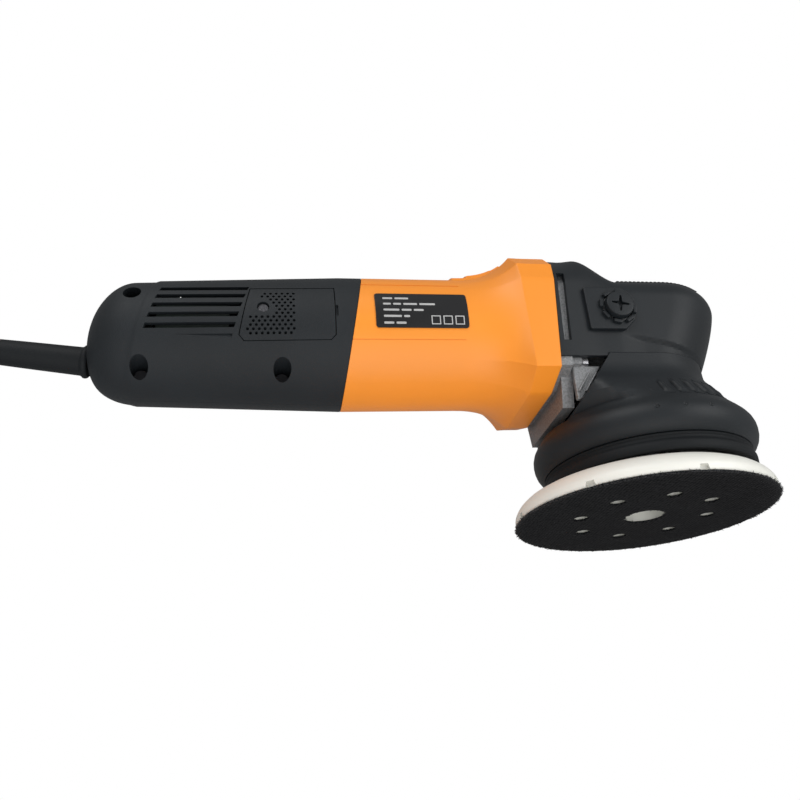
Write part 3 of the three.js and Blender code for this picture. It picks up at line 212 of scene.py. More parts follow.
def rounded(form, width, segments=3, angle=30):
    """Rounds every edge sharper than an angle."""
    edges = [
        e
        for e in form.edges
        if len(e.link_faces) == 2 and e.calc_face_angle(0) > math.radians(angle)
    ]
    bmesh.ops.bevel(
        form,
        geom=edges,
        offset=width,
        segments=segments,
        profile=0.5,
        affect="EDGES",
        material=-1,
        clamp_overlap=True,
    )
    return form


def moved(form, vec=(0, 0, 0), turn=None):
    """Turns a form by an angle about an axis letter, then shifts it."""
    if turn:
        matrix = Matrix.Rotation(turn[0], 3, turn[1])
        bmesh.ops.rotate(form, verts=form.verts, cent=(0, 0, 0), matrix=matrix)
    bmesh.ops.translate(form, verts=form.verts, vec=vec)
    return form


def joined(forms):
    """One form out of several, which are used up."""
    whole = bmesh.new()
    for form in forms:
        mesh = bpy.data.meshes.new("part")
        form.to_mesh(mesh)
        whole.from_mesh(mesh)
        bpy.data.meshes.remove(mesh)
        form.free()
    return whole


def in_scene(name, data):
    """A new object for some data, linked into the scene."""
    made = bpy.data.objects.new(name, data)
    bpy.context.scene.collection.objects.link(made)
    return made


def loose_object(form, name="form"):
    """An object that takes over a form."""
    mesh = bpy.data.meshes.new(name)
    form.to_mesh(mesh)
    form.free()
    return in_scene(name, mesh)


def settled(thing):
    """The form of an object with its modifiers applied."""
    bpy.context.view_layer.update()
    seen = thing.evaluated_get(bpy.context.evaluated_depsgraph_get())
    form = bmesh.new()
    form.from_mesh(seen.to_mesh())
    return form


def carved(form, tools, operation="DIFFERENCE", crossing=False):
    """A form with the tools cut away, or only what it shares with them."""
    subject, tool = loose_object(form), loose_object(joined(tools), "tool")
    cut = subject.modifiers.new("cut", "BOOLEAN")
    cut.operation, cut.solver, cut.object = operation, "EXACT", tool
    cut.use_self = crossing
    out = settled(subject)
    for done in (subject, tool):
        mesh = done.data
        bpy.data.objects.remove(done)
        bpy.data.meshes.remove(mesh)
    return out


def add_piece(name, form, finish, *stands_for, body="root", slot=None, sharp=38, round_off=0):
    """Turns a form into a finished piece that rides on a body and stands for CAD nodes."""
    bmesh.ops.remove_doubles(form, verts=form.verts, dist=1e-4)
    bmesh.ops.recalc_face_normals(form, faces=form.faces)
    form.transform(TO_FRAME)
    made = loose_object(form, name)
    made.data.shade_smooth()
    made.data.set_sharp_from_angle(angle=math.radians(sharp))
    made.data.materials.append(FINISH[finish])
    if round_off:
        bevel = made.modifiers.new("edges", "BEVEL")
        bevel.width, bevel.segments = round_off * MM, 2
        bevel.limit_method, bevel.angle_limit = "ANGLE", math.radians(sharp)
        bevel.harden_normals = bevel.use_clamp_overlap = True
    made.modifiers.new("normals", "WEIGHTED_NORMAL").keep_sharp = True
    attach(made, body)
    if stands_for:
        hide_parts(*stands_for)
    return made


# --- finishes
GRAIN_SOCKETS = (
    ("Color", "NodeSocketColor", (0.5, 0.5, 0.5, 1)),
    ("Second Color", "NodeSocketColor", (0.5, 0.5, 0.5, 1)),
    ("Patch Scale", "NodeSocketFloat", 30.0),
    ("Grain Scale", "NodeSocketFloat", 1500.0),
    ("Grain Depth", "NodeSocketFloat", 0.1),
    ("Roughness", "NodeSocketFloat", 0.5),
    ("Roughness Spread", "NodeSocketFloat", 0.08),
)
HOOK_SOCKETS = (
    ("Ground", "NodeSocketColor", (0.004, 0.004, 0.005, 1)),
    ("Hooks", "NodeSocketColor", (0.035, 0.036, 0.04, 1)),
    ("Pitch Scale", "NodeSocketFloat", 480.0),
)
GRAIN_HEIGHT = 0.0004
HOOK_HEIGHT = 0.0009
HOOK_SHAKE = (0.0012, 0.0012, 0.0)


def feed(tree, socket, value):
    """Links an output to a socket, or sets the socket to a plain value."""
    if isinstance(value, bpy.types.NodeSocket):
        tree.links.new(value, socket)
    else:
        socket.default_value = value


def math_node(tree, operation, *values, clamp=False):
    """The output of a math node fed with two values."""
    node = tree.nodes.new("ShaderNodeMath")
    node.operation, node.use_clamp = operation, clamp
    for socket, value in zip(node.inputs, values):
        feed(tree, socket, value)
    return node.outputs[0]


def texture(tree, kind, at, scale, **values):
    """A procedural texture node with its place, scale and other inputs fed."""
    node = tree.nodes.new("ShaderNodeTex" + kind)
    for label, value in {"Vector": at, "Scale": scale, **values}.items():
        feed(tree, node.inputs[label], value)
    return node


def new_group(name, inputs):
    """A node group with the given inputs and a surface's outputs."""
    group = bpy.data.node_groups.new(name, "ShaderNodeTree")
    for label, kind, value in inputs:
        socket = group.interface.new_socket(label, in_out="INPUT", socket_type=kind)
        socket.default_value = value
    for label, kind in SURFACE_OUTPUTS:
        group.interface.new_socket(label, in_out="OUTPUT", socket_type=kind)
    return group, group.nodes.new("NodeGroupInput").outputs, group.nodes.new("NodeGroupOutput")


def surface(group, out, share, colors, rough, bump_values):
    """Wires a colour mix, a roughness and a bump to a group's outputs."""
    mix = group.nodes.new("ShaderNodeMix")
    mix.data_type = "RGBA"
    bump = group.nodes.new("ShaderNodeBump")
    for label, value in zip(("Factor", "A", "B"), (share, *colors)):
        feed(group, mix.inputs[label], value)
    for label, value in zip(("Height", "Distance", "Strength"), bump_values):
        feed(group, bump.inputs[label], value)
    feed(group, out.inputs["Color"], mix.outputs["Result"])
    feed(group, out.inputs["Roughness"], rough)
    feed(group, out.inputs["Normal"], bump.outputs["Normal"])


SURFACE_OUTPUTS = (
    ("Color", "NodeSocketColor"),
    ("Roughness", "NodeSocketFloat"),
    ("Normal", "NodeSocketVector"),
)


def grain_group():
    """Moulding grain with slow patches of colour and gloss."""
    group, given, out = new_group("moulding grain", GRAIN_SOCKETS)
    at = group.nodes.new("ShaderNodeTexCoord").outputs["Object"]
    patches = texture(group, "Noise", at, given["Patch Scale"], Detail=4.0).outputs["Fac"]
    grain = texture(group, "Noise", at, given["Grain Scale"], Detail=2.0).outputs["Fac"]
    spread = group.nodes.new("ShaderNodeMapRange")
    for label, value in (("Value", patches), ("From Min", 0.35), ("From Max", 0.65)):
        feed(group, spread.inputs[label], value)
    lift = math_node(group, "SUBTRACT", patches, 0.5)
    fine = math_node(group, "SUBTRACT", grain, 0.5)
    both = math_node(group, "ADD", lift, fine)
    swing = math_node(group, "MULTIPLY", both, given["Roughness Spread"])
    rough = math_node(group, "ADD", given["Roughness"], swing, clamp=True)
    colors = given["Color"], given["Second Color"]
    bump = grain, GRAIN_HEIGHT, given["Grain Depth"]
    surface(group, out, spread.outputs["Result"], colors, rough, bump)
    return group


def hook_group():
    """Rows of tiny hooks on a woven ground."""
    group, given, out = new_group("hook rows", HOOK_SOCKETS)
    at = group.nodes.new("ShaderNodeTexCoord").outputs["Object"]
    warp = texture(group, "Noise", at, 160.0, Detail=2.0)
    shake = group.nodes.new("ShaderNodeVectorMath")
    shake.operation = "MULTIPLY_ADD"
    for socket, value in zip(shake.inputs, (warp.outputs["Color"], HOOK_SHAKE, at)):
        feed(group, socket, value)
    dots = texture(group, "Voronoi", shake.outputs[0], given["Pitch Scale"], Randomness=0.35)
    mask = math_node(group, "SUBTRACT", 0.62, dots.outputs["Distance"], clamp=True)
    tall = math_node(group, "MULTIPLY", mask, 1.9, clamp=True)
    worn = texture(group, "Noise", at, 45.0, Detail=3.0)
    shown = math_node(group, "MULTIPLY", tall, worn.outputs["Fac"], clamp=True)
    rough = math_node(group, "SUBTRACT", 0.95, math_node(group, "MULTIPLY", shown, 0.35))
    colors = given["Ground"], given["Hooks"]
    surface(group, out, shown, colors, rough, (tall, HOOK_HEIGHT, 0.9))
    return group


def finish_from(group, name, values, metallic=0.0, sheen=0.0, specular=0.5):
    """A material whose shader is fed by a surface group."""
    made = bpy.data.materials.new(name)
    made.use_nodes = True
    tree = made.node_tree
    node = tree.nodes.new("ShaderNodeGroup")
    node.node_tree = group
    for label, value in values.items():
        node.inputs[label].default_value = value
    for label, value in (
        ("Base Color", node.outputs["Color"]),
        ("Roughness", node.outputs["Roughness"]),
        ("Normal", node.outputs["Normal"]),
        ("Metallic", metallic),
        ("Sheen Weight", sheen),
        ("Specular IOR Level", specular),
    ):
        feed(tree, tree.nodes["Principled BSDF"].inputs[label], value)
    return made


def tint(color, factor):
    """A colour made lighter or darker, with full alpha."""
    return tuple(min(1.0, c * factor) for c in color[:3]) + (1.0,)


def grained(name, color, rough, scale, depth, spread=0.08, vary=1.25, patch=28.0, **more):
    """A finish out of the moulding grain, from its colour, gloss and grain."""
    values = {
        "Color": tint(color, 1.0),
        "Second Color": tint(color, vary),
        "Patch Scale": patch,
        "Grain Scale": scale,
        "Grain Depth": depth,
        "Roughness": rough,
        "Roughness Spread": spread,
    }
    return finish_from(bpy.data.node_groups["moulding grain"], name, values, **more)


FINISH = {}


def make_finishes(settings):
    """Fills the table of finishes from the settings' colours."""
    grain_group()
    hooks = hook_group()
    black, orange, white = settings.plastic_black, settings.housing_orange, settings.plate_white
    cast, steel = (0.2, 0.205, 0.21), (0.5, 0.5, 0.52)
    dark, copper = (0.06, 0.06, 0.065), (0.5, 0.2, 0.09)
    soot, board = (0.03, 0.03, 0.03), (0.012, 0.02, 0.016)
    film, ink = (0.008, 0.008, 0.009), (0.38, 0.38, 0.38)
    thread, number = (0.012, 0.012, 0.014), (0.7, 0.7, 0.7)
    textured = grained("textured black plastic", black, 0.58, 2600, 0.35, 0.12, 1.3, specular=0.32)
    smooth = grained("smooth black plastic", black, 0.5, 1100, 0.1, 0.1, 1.2, specular=0.34)
    rubber = grained("matt rubber", tint(black, 0.6), 0.62, 1800, 0.15, 0.12, 1.2, specular=0.25)
    jacket = grained("cord jacket", tint(black, 0.7), 0.55, 700, 0.12, 0.1, 1.2, specular=0.28)
    blackened = grained("blackened steel", dark, 0.4, 1800, 0.25, 0.2, 1.5, metallic=0.9)
    FINISH.update(
        black=textured,
        gloss_black=smooth,
        orange=grained("moulded orange plastic", orange, 0.42, 2200, 0.12, 0.08, 1.05, patch=14.0),
        rubber=rubber,
        jacket=jacket,
        white=grained("off-white nylon", white, 0.42, 900, 0.1, 0.1, 0.95),
        cast=grained("cast aluminium", cast, 0.55, 1300, 0.8, 0.3, 1.6, 900.0, metallic=0.75),
        steel=grained("turned steel", steel, 0.3, 3000, 0.1, 0.2, 1.1, metallic=1.0),
        dark_steel=blackened,
        copper=grained("enamelled copper", copper, 0.35, 1500, 0.2, 0.2, 1.3, metallic=0.9),
        carbon=grained("brush carbon", soot, 0.6, 2500, 0.3),
        board=grained("potted board", board, 0.6, 800, 0.1),
        label=grained("label film", film, 0.3, 900, 0.03, 0.05),
        print=grained("label print", ink, 0.5, 900, 0.02, 0.05),
        hooks=finish_from(hooks, "hook face", {}, sheen=0.06, specular=0.12),
        fuzz=grained("hook filament", thread, 0.6, 3000, 0.1, sheen=0.1),
        numbers=grained("dial numbers", number, 0.5, 900, 0.02),
    )


# --- mains lead
CORD_LEAD = (
    (-388.3, 0, 110.6), (-400, 0, 111.6), (-412, 0, 110.3), (-423, 0, 105.4), (-431.5, 0, 97),
    (-437, 0, 86), (-440.5, 0, 73), (-442, 0, 58), (-443.6, 0, 44), (-447.6, 0, 30.5),
    (-455.6, 0, 18), (-466.5, 0, 9.6), (-479, 0, 5.4), (-491.5, 0, 4.6), (-509, 0, 5.3),
)  # fmt: skip
COIL_CENTRE = (-526.0, 66.9)
COIL_LEVELS = (5.7, 13.95)
COIL_RADII = (66.9, 32.1)
COIL_TURNS = 4.25
COIL_STEP = math.radians(18)
PLUG_AT = Vector((-489.0, 133.8, 13.2))


def coil_points():
    """Two layers of turns: inwards on the surface, and outwards on top of them."""
    points = []
    sweep = COIL_TURNS * math.tau
    steps = round(sweep / COIL_STEP)
    low, high = COIL_LEVELS
    outer, inner = COIL_RADII

    def put(angle, radius, level):
        x, y = COIL_CENTRE
        points.append((x + radius * math.cos(angle), y + radius * math.sin(angle), level))

    angle = -math.pi / 2
    for i in range(steps + 1):
        put(angle - i * sweep / steps, lerp(outer, inner, i / steps), low)
    turn_up = 9
    angle -= sweep
    for i in range(1, turn_up + 1):
        put(angle - i * COIL_STEP, inner, lerp(low, high, ease(i / turn_up)))
    angle -= turn_up * COIL_STEP
    rest = (angle - math.pi / 2) % math.tau + (math.floor(COIL_TURNS) - 1) * math.tau
    steps = round(rest / COIL_STEP)
    for i in range(1, steps + 1):
        put(angle - i * rest / steps, lerp(inner, outer, i / steps), high)
    return points


def add_lead(settings):
    """The cord from the guard to the plug, with the pieces that belong to it."""
    lead = [*CORD_LEAD, *coil_points(), (-515, 133.8, 13.9), (-503, 133.8, 13.4)]
    lead = [Vector(p) for p in lead] + [PLUG_AT + Vector((0.5, 0, 0))]
    curve = bpy.data.curves.new("mains_cord", "CURVE")
    curve.dimensions = "3D"
    curve.resolution_u = 4
    curve.bevel_depth = settings.cord_diameter / 2
    curve.bevel_resolution = 4
    curve.use_fill_caps = True
    spline = curve.splines.new("BEZIER")
    spline.bezier_points.add(len(lead) - 1)
    for point, at in zip(spline.bezier_points, lead):
        point.co = TO_FRAME @ at
        point.handle_left_type = point.handle_right_type = "AUTO"
    curve.materials.append(FINISH["jacket"])
    cord = in_scene("mains_cord", curve)
    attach(cord, "root")
    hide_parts("cord_lead", "cord_coil")
    guard, tie, plug, pins = add_guard(), add_tie(), *add_plug()


GUARD_Z = 102.3
GUARD_RISE = math.radians(7.6)


def guard_axis(form):
    """Lays a form turned about Z along the guard's rising axis, with z = 0 at the casing."""
    moved(form, turn=(-math.pi / 2, "Y"))
    return moved(form, vec=(REAR_X, 0, GUARD_Z), turn=(GUARD_RISE, "Y"))


def add_guard():
    """The rubber sleeve round the beginning of the cord."""
    outside = [
        (4.35, -1.0), (8.6, -1.0), (9.3, -0.3), (9.6, 0.6), (9.5, 1.6), (8.75, 2.4), (8.3, 3.4),
        (8.1, 14), (7.9, 26), (7.65, 38), (7.4, 48), (7.1, 53), (6.6, 57.5), (5.8, 60.8),
        (5.0, 62), (4.35, 62.2),
    ]  # fmt: skip
    form = guard_axis(turned(closed_profile(outside), 48))
    return add_piece("cord_sleeve", form, "rubber", "cord_guard")


def add_tie():
    """A flat strap round the bundle of turns."""
    x0, y0 = COIL_CENTRE
    inner, outer, low, high, corner = 27.2, 71.8, 0.5, 18.9, 2.5
    path = []
    for cx, cz, start in (
        (outer - corner, high - corner, 0),
        (inner + corner, high - corner, 90),
        (inner + corner, low + corner, 180),
        (outer - corner, low + corner, 270),
    ):
        for k in range(5):
            a = math.radians(start + 22.5 * k)
            path.append((cx + corner * math.cos(a), cz + corner * math.sin(a), a))

    def ring(grow, half):
        return [
            (x0 - (x + grow * math.cos(a)), y0 + half, z + grow * math.sin(a)) for x, z, a in path
        ]

    form = ring_form([ring(0, -4.5), ring(1.2, -4.5), ring(1.2, 4.5), ring(0, 4.5)], closed=True)
    rounded(form, 0.3, 2, 50)
    head = rounded(block((x0 - 58, x0 - 50), (y0 - 5.6, y0 + 5.6), (19.2, 23.2)), 0.8)
    return add_piece("lead_strap", joined([form, head]), "rubber", "cord_tie")


def add_plug():
    """Two-pin plug: ribbed boot, waisted grip and a flat front face with two round pins."""
    stations = (
        (0, 4.6, 4.6), (1.5, 5.2, 5.2), (3.5, 5.4, 5.4), (4.5, 4.9, 4.9), (6, 5.0, 5.0),
        (7, 5.9, 5.9), (8.5, 5.9, 5.9), (9.5, 5.4, 5.4), (11, 5.6, 5.6), (12, 6.5, 6.5),
        (14, 7.2, 7.2), (18, 10.2, 9.2), (24, 14.4, 11.8), (30, 15.4, 11.2), (36, 15.6, 11.4),
        (42, 17.2, 12.6), (45.5, 17.4, 12.6), (46.6, 16.9, 12.1), (47, 16, 11.2),
    )  # fmt: skip
    sides, squareness = 40, 2.6
    rings = []
    for x, half, rise in stations:
        power = lerp(2.0, squareness, ease((x - 12) / 14))
        ring = []
        for a in turns(sides):
            c, s = math.cos(a), math.sin(a)
            reach = (abs(c) ** power + abs(s) ** power) ** (-1 / power)
            ring.append(PLUG_AT + Vector((x, half * reach * c, rise * reach * s)))
        rings.append(ring)
    form = ring_form(rings)
    bmesh.ops.holes_fill(form, edges=form.edges)
    plug = add_piece("plug_grip", form, "gloss_black", "mains_plug", slot="rubber")
    tip = [(0, 56), (1.9, 56), (1.9, 64), (1.5, 65.6), (0.6, 66), (0, 66)]
    pins = []
    for side in SIDES:
        centre = PLUG_AT + Vector((0, side * 9.5, 0))
        pins += [rod("X", (46.5, 56), 2.2, centre, 24), turned(tip, 24, "X", centre)]
    return plug, add_piece("plug_pins", joined(pins), "steel")


# --- rear casing
def casing_radius(x):
    """The casing's radius, which grows evenly from the rear dome to the joint."""
    start, end = REAR_X + CASING_DOME, JOINT_X - 8
    return lerp(CASING_REAR_RADIUS, HOUSING_RADIUS, clipped((x - start) / (end - start)))


def casing_profile(inset, front):
    """Points from the rear pole to the front, as [radius, x] about the motor axis."""
    points = []
    for k in range(25):
        turn = math.pi / 2 * k / 24
        x = REAR_X + inset + CASING_DOME * (1 - math.cos(turn))
        points.append(((CASING_REAR_RADIUS - inset) * math.sin(turn) ** 0.87, x))
    x = REAR_X + inset + CASING_DOME
    while x < REAR_X + 44:
        x += 0.9
        points.append((casing_radius(x) - inset, x))
    points += [(casing_radius(x) - inset, x) for x in (-270, -250, -230, -210, JOINT_X - 8)]
    points += [(HOUSING_RADIUS - inset, front), (0, front)]
    return points


CAP_EDGE = (-287.5, 145.3, 0.237)
CAP_STEP = 0.7


def casing_form(inset, front=JOINT_X + 22, steps=160, stepped=True):
    """The whole casing as a solid, with its drooping dome and the low step near the end."""
    form = turned(casing_profile(inset, front), steps, "X")
    for v in form.verts:
        left = 1 - clipped((v.co.x - REAR_X - inset) / CASING_DOME)
        v.co.z += MOTOR_Z - CASING_DROOP * left * left
        if stepped:
            edge = CAP_EDGE[0] + CAP_EDGE[2] * (v.co.z - CAP_EDGE[1])
            behind = 1 - ease((v.co.x - edge) / 2.2)
            spread = ease((v.co.x - REAR_X) / 12)
            share = 1 - CAP_STEP * behind * spread / CASING_REAR_RADIUS
            v.co.y *= share
            v.co.z = MOTOR_Z + (v.co.z - MOTOR_Z) * share
    return form


def ahead_of(x, lean):
    """A block that fills everything forward of a plane leaning with height."""
    form = block((0, FAR), (-FAR / 2, FAR / 2), (-FAR / 2, FAR / 2))
    return moved(form, vec=(x, 0, MOTOR_Z), turn=(math.atan(lean), "Y"))


SCREWS = ((REAR_X + 27, 129.5), (REAR_X + 32, 86.8), (-216.6, 84.4))
SCREW_POST = 6.6
SCREW_RECESS = 5
SIDE_CUT = 20
HATCH_SCREW = (-227.0, 117.0)
HATCH = ((-234, 131), (-240, 100.5), (-237.5, 97.5), (-189.5, 97.5), (-187, 100), (-187, 131))


def grown(outline, by):
    """An outline with every point pushed out from its middle lines by a margin."""
    count = len(outline)
    out = []
    for i, (x, z) in enumerate(outline):
        (ax, az), (bx, bz) = outline[i - 1], outline[(i + 1) % count]
        d1 = Vector((x - ax, z - az)).normalized()
        d2 = Vector((bx - x, bz - z)).normalized()
        n = (Vector((-d1.y, d1.x)) + Vector((-d2.y, d2.x))).normalized()
        n *= by / max(0.3, n.dot(Vector((-d1.y, d1.x))))
        out.append((x - n.x, z - n.y))
    return out


def vent_tools(side):
    """Six leaning slots, of which the lowest is only a groove."""
    tools = []
    for row in range(6):
        x, z = -293 + 1.8 * row, 99.5 + 6.4 * row
        low, high = z - 1.5, z + 1.5
        outline = [(x - 0.5, low), (x + 0.6, high), (x + 49.4, high), (x + 48.2, low)]
        tools.append(plate(outline, beyond(side, SIDE_CUT if row else 34.9)))
    return tools


def add_casing_half(side):
    """One half of the rear casing, with its vents, recesses and openings."""
    hollow = carved(
        casing_form(CASING_WALL, JOINT_X + 30, 96, stepped=False),
        [rod("Y", (-60, 60), SCREW_POST, (x, 0, z)) for x, z in SCREWS],
    )
    tools = [
        ahead_of(JOINT_X - JOINT_GAP, JOINT_LEAN),
        block((-FAR, 0), beyond(-side, -SEAM_GAP), (0, FAR)),
        plate(grown(HATCH, 0.5), beyond(side, SIDE_CUT)),
        guard_axis(rod("Z", (-30, 60), 8.9)),
        rounded(block((-283.9, -276.1), (-12, 12), (141, 200)), 1.2, 2),
        *vent_tools(side),
    ]
    if side == RIGHT:
        tools += [rod("Y", beyond(side, 9), SCREW_RECESS, (x, 0, z), 40) for x, z in SCREWS]
        tools.append(block((-186.3, -185.1), (-FAR, -38.9), (110.6, 117.6)))
    form = carved(carved(casing_form(0), [hollow]), tools, crossing=True)
    name = side_name(side)
    add_piece("casing_shell_" + name, form, "black", "casing_" + name, round_off=0.35)


def grille_tools(side):
    """Staggered rows of small holes that leave a patch round the screw's recess."""
    tools = []
    depth = beyond(side, SIDE_CUT)
    screw_x, screw_z = HATCH_SCREW
    for row in range(12):
        z = 101.2 + 2.32 * row
        for column in range(10):
            x = -237.2 + 3.2 * column + (1.6 if row % 2 else 0)
            near_screw = math.hypot(x - screw_x, z - screw_z) < 6.3
            over_screw = z > 110.5 and x < -229
            in_outline = -237 + (z - 99) * 0.2 < x < -208.6
            if in_outline and not near_screw and not over_screw:
                tools.append(rod("Y", depth, 0.85, (x, 0, z), 8))
    tools.append(rod("Y", depth, 3.4, (screw_x, 0, screw_z), 28))
    return tools


def add_hatch(side):
    """The grilled cover that fills one opening of the casing."""
    hollow = casing_form(CASING_WALL, steps=96, stepped=False)
    form = carved(casing_form(0.15, stepped=False), [hollow])
    form = carved(form, [plate(HATCH, beyond(side, SIDE_CUT))], "INTERSECT")
    form = carved(form, grille_tools(side))
    name = side_name(side)
    add_piece("hatch_cover_" + name, form, "black", "brush_hatch_" + name, round_off=0.2)


# --- motor housing
FLANGE_RIGHT = ((30.0, 45.5), (42.3, 33.25), (45.5, 21.0), (45.5, -38.0), (25.0, -45.5))


def flange_corners(share=1.0):
    """The flange's corners as [y, z] about the motor axis."""
    right = [(y * share, z * share) for y, z in FLANGE_RIGHT]
    return right + [(-y, z) for y, z in reversed(right)]


SPAN_STEPS = 12


def flange_ring(share=1.0):
    """The flange's outline as [y, z], with even steps along each of its sides."""
    corners = flange_corners(share)
    ring = []
    for (ay, az), (by, bz) in zip(corners, corners[1:] + corners[:1]):
        steps = [k / SPAN_STEPS for k in range(SPAN_STEPS)]
        ring += [(lerp(ay, by, t), lerp(az, bz, t)) for t in steps]
    return ring


def housing_ring(x, lean, share, scale=1.0, radius=HOUSING_RADIUS):
    """A ring between the round tube and the flange, on a leaning plane."""
    ring = []
    for y, z in flange_ring(scale):
        reach = math.hypot(y, z)
        out = lerp(radius / reach, 1.0, share)
        ring.append((x + lean * z * out, y * out, MOTOR_Z + z * out))
    return ring


TUBE_REAR = JOINT_X + JOINT_GAP
TUBE_MIDDLE = -134
BAND_RINGS = (
    (-75.6, 1.004), (-70, 1.0), (-60, 1.0), (-58.2, 0.999), (-57.6, 0.992), (-57.45, 0.975),
)  # fmt: skip


def flare_share(t):
    """How far the flare has gone from the round tube to the flange."""
    return 0.35 * t * t + 0.65 * t**3.2


def add_housing():
    """The motor housing as one hollow skin: round tube, flare and flange."""
    rings = []
    for k in range(9):
        x = lerp(TUBE_REAR, TUBE_MIDDLE, k / 8)
        rings.append(housing_ring(x, JOINT_LEAN * (1 - k / 8), 0))
    for k in range(1, 4):
        rings.append(housing_ring(lerp(TUBE_MIDDLE, FLARE_X, k / 3), 0, 0))
    for k in range(1, 21):
        t = k / 20
        x = lerp(FLARE_X, BAND_REAR_X + 1.3, t)
        rings.append(housing_ring(x, BAND_REAR_LEAN * t * t, flare_share(t)))
    for x, scale in BAND_RINGS:
        lean = lerp(BAND_REAR_LEAN, BAND_LEAN, clipped((x + 75.6) / 15.6))
        rings.append(housing_ring(x, lean, 1, scale))
    rings.append(housing_ring(BAND_FRONT_X, BAND_LEAN, 0, 1, HOUSING_BORE))
    rings.append(housing_ring(TUBE_REAR, JOINT_LEAN, 0, 1, HOUSING_BORE))
    form = ring_form(rings, closed=True)
    bmesh.ops.recalc_face_normals(form, faces=form.faces)
    right = beyond(RIGHT, SIDE_CUT)
    slits = [block((-184, -112), right, zs) for zs in ((97.2, 97.6), (135.2, 135.7))]
    core = rod("X", (-200, -90), HOUSING_RADIUS - 0.35, (0, 0, MOTOR_Z), 96)
    slot = block((-140.5, -125.5), beyond(LEFT, SIDE_CUT), (MOTOR_Z + 9, MOTOR_Z + 15))
    form = carved(form, [slot, carved(joined(slits), [core])])
    add_piece("housing_tube", form, "orange", "motor_housing", sharp=24)
    add_top_pad()


def add_top_pad():
    """The raised moulding on top of the flare, in three low steps."""
    steps = ((-113.5, -97, 1.6, 25), (-104, -84, 3.0, 23), (-94, -77, 3.0, 21))
    sunk = 0.8
    forms = []
    for rear, front, rise, half in steps:

        def place(u, v, rear=rear, front=front, rise=rise, half=half):
            x, y = lerp(rear, front, v), lerp(-half, half, u)
            t = clipped((x - FLARE_X) / (BAND_REAR_X - FLARE_X))
            up = lerp(math.sqrt(HOUSING_RADIUS**2 - y * y), FLANGE_HALF, flare_share(t))
            edge = min(u, 1 - u) * 2 * half
            lip = min(1, edge / 1.2, (x - rear) / 1.6, (front - x) / 3)
            z = MOTOR_Z + up - sunk + (rise + sunk) * ease(lip)
            return Vector((x + BAND_REAR_LEAN * t * t * up, y, z))

        form = grid_form(36, 30, place, closed=False)
        bmesh.ops.solidify(form, geom=form.faces, thickness=0.6)
        forms.append(form)
    add_piece("housing_ridge", joined(forms), "orange")


LABEL_SPAN = (-164.0, -110.0)
LABEL_HEIGHT = (103.5, 126.5)


def on_tube(x, z, radius):
    """A point on the right side of the housing's tube."""
    up = z - MOTOR_Z
    return Vector((x, -math.sqrt(radius * radius - up * up), z))


def label_patch(xs, zs, radius, corner, thickness):
    """A thin patch on the right side of the tube, with its corners rounded."""

    def place(u, v):
        x, z = lerp(*xs, u), lerp(*zs, v)
        cx = min(max(x, xs[0] + corner), xs[1] - corner)
        cz = min(max(z, zs[0] + corner), zs[1] - corner)
        off = Vector((x - cx, z - cz))
        if off.length > corner:
            off *= corner / off.length
        return on_tube(cx + off.x, cz + off.y, radius)

    across, up = max(2, int((xs[1] - xs[0]) / 0.7)), max(2, int((zs[1] - zs[0]) / 1.1))
    form = grid_form(across, up, place, closed=False)
    bmesh.ops.recalc_face_normals(form, faces=form.faces)
    bmesh.ops.solidify(form, geom=form.faces, thickness=thickness)
    return form


def add_label():
    """The rating film, with plain bars for its lines and three empty boxes."""
    form = label_patch(LABEL_SPAN, LABEL_HEIGHT, HOUSING_RADIUS + 0.62, 1.6, 0.55)
    add_piece("rating_film", form, "label", "rating_label")
    radius, line = HOUSING_RADIUS + 0.68, 0.55
    bars = []
    for row, words in enumerate(((5, 7), (4, 4, 7, 8), (8, 5, 5), (9, 3), (5, 5))):
        x, z = LABEL_SPAN[0] + 4.5, LABEL_HEIGHT[1] - 3.2 - 4.1 * row
        for word in words:
            x1 = x + word * 1.15
            bars.append(label_patch((x, x1), (z - 1.3, z), radius, 0.35, 0.1))
            x = x1 + 1.3
    z0, z1 = LABEL_HEIGHT[0] + 2.0, LABEL_HEIGHT[0] + 7.4
    for x0, x1 in ((-132.0, -126.6), (-125.0, -119.6), (-118.0, -112.6)):
        for xs, zs in (
            ((x0, x1), (z0, z0 + line)),
            ((x0, x1), (z1 - line, z1)),
            ((x0, x0 + line), (z0, z1)),
            ((x1 - line, x1), (z0, z1)),
        ):
            bars.append(label_patch(xs, zs, radius, 0, 0.1))
    add_piece("rating_bars", joined(bars), "print")


# --- head
COVER_HALF = 43.0
COVER_REAR = -57.15
COVER_WALL = 3.0
NOSE_X = 19.0
NOSE_TOP = MOTOR_Z + 28
NOSE_FILLET = 16.0
NOSE_TUCK = 17.0
FOLD_Z = 100.5
BLOCK_TOP = MOTOR_Z + 44.8


def cover_low(x):
    """The height of the cover's lower edge."""
    if x < -30:
        return lerp(83.2, 84.2, (x + 57) / 27)
    return lerp(84.2, 86.45, ease((x + 30) / 13))


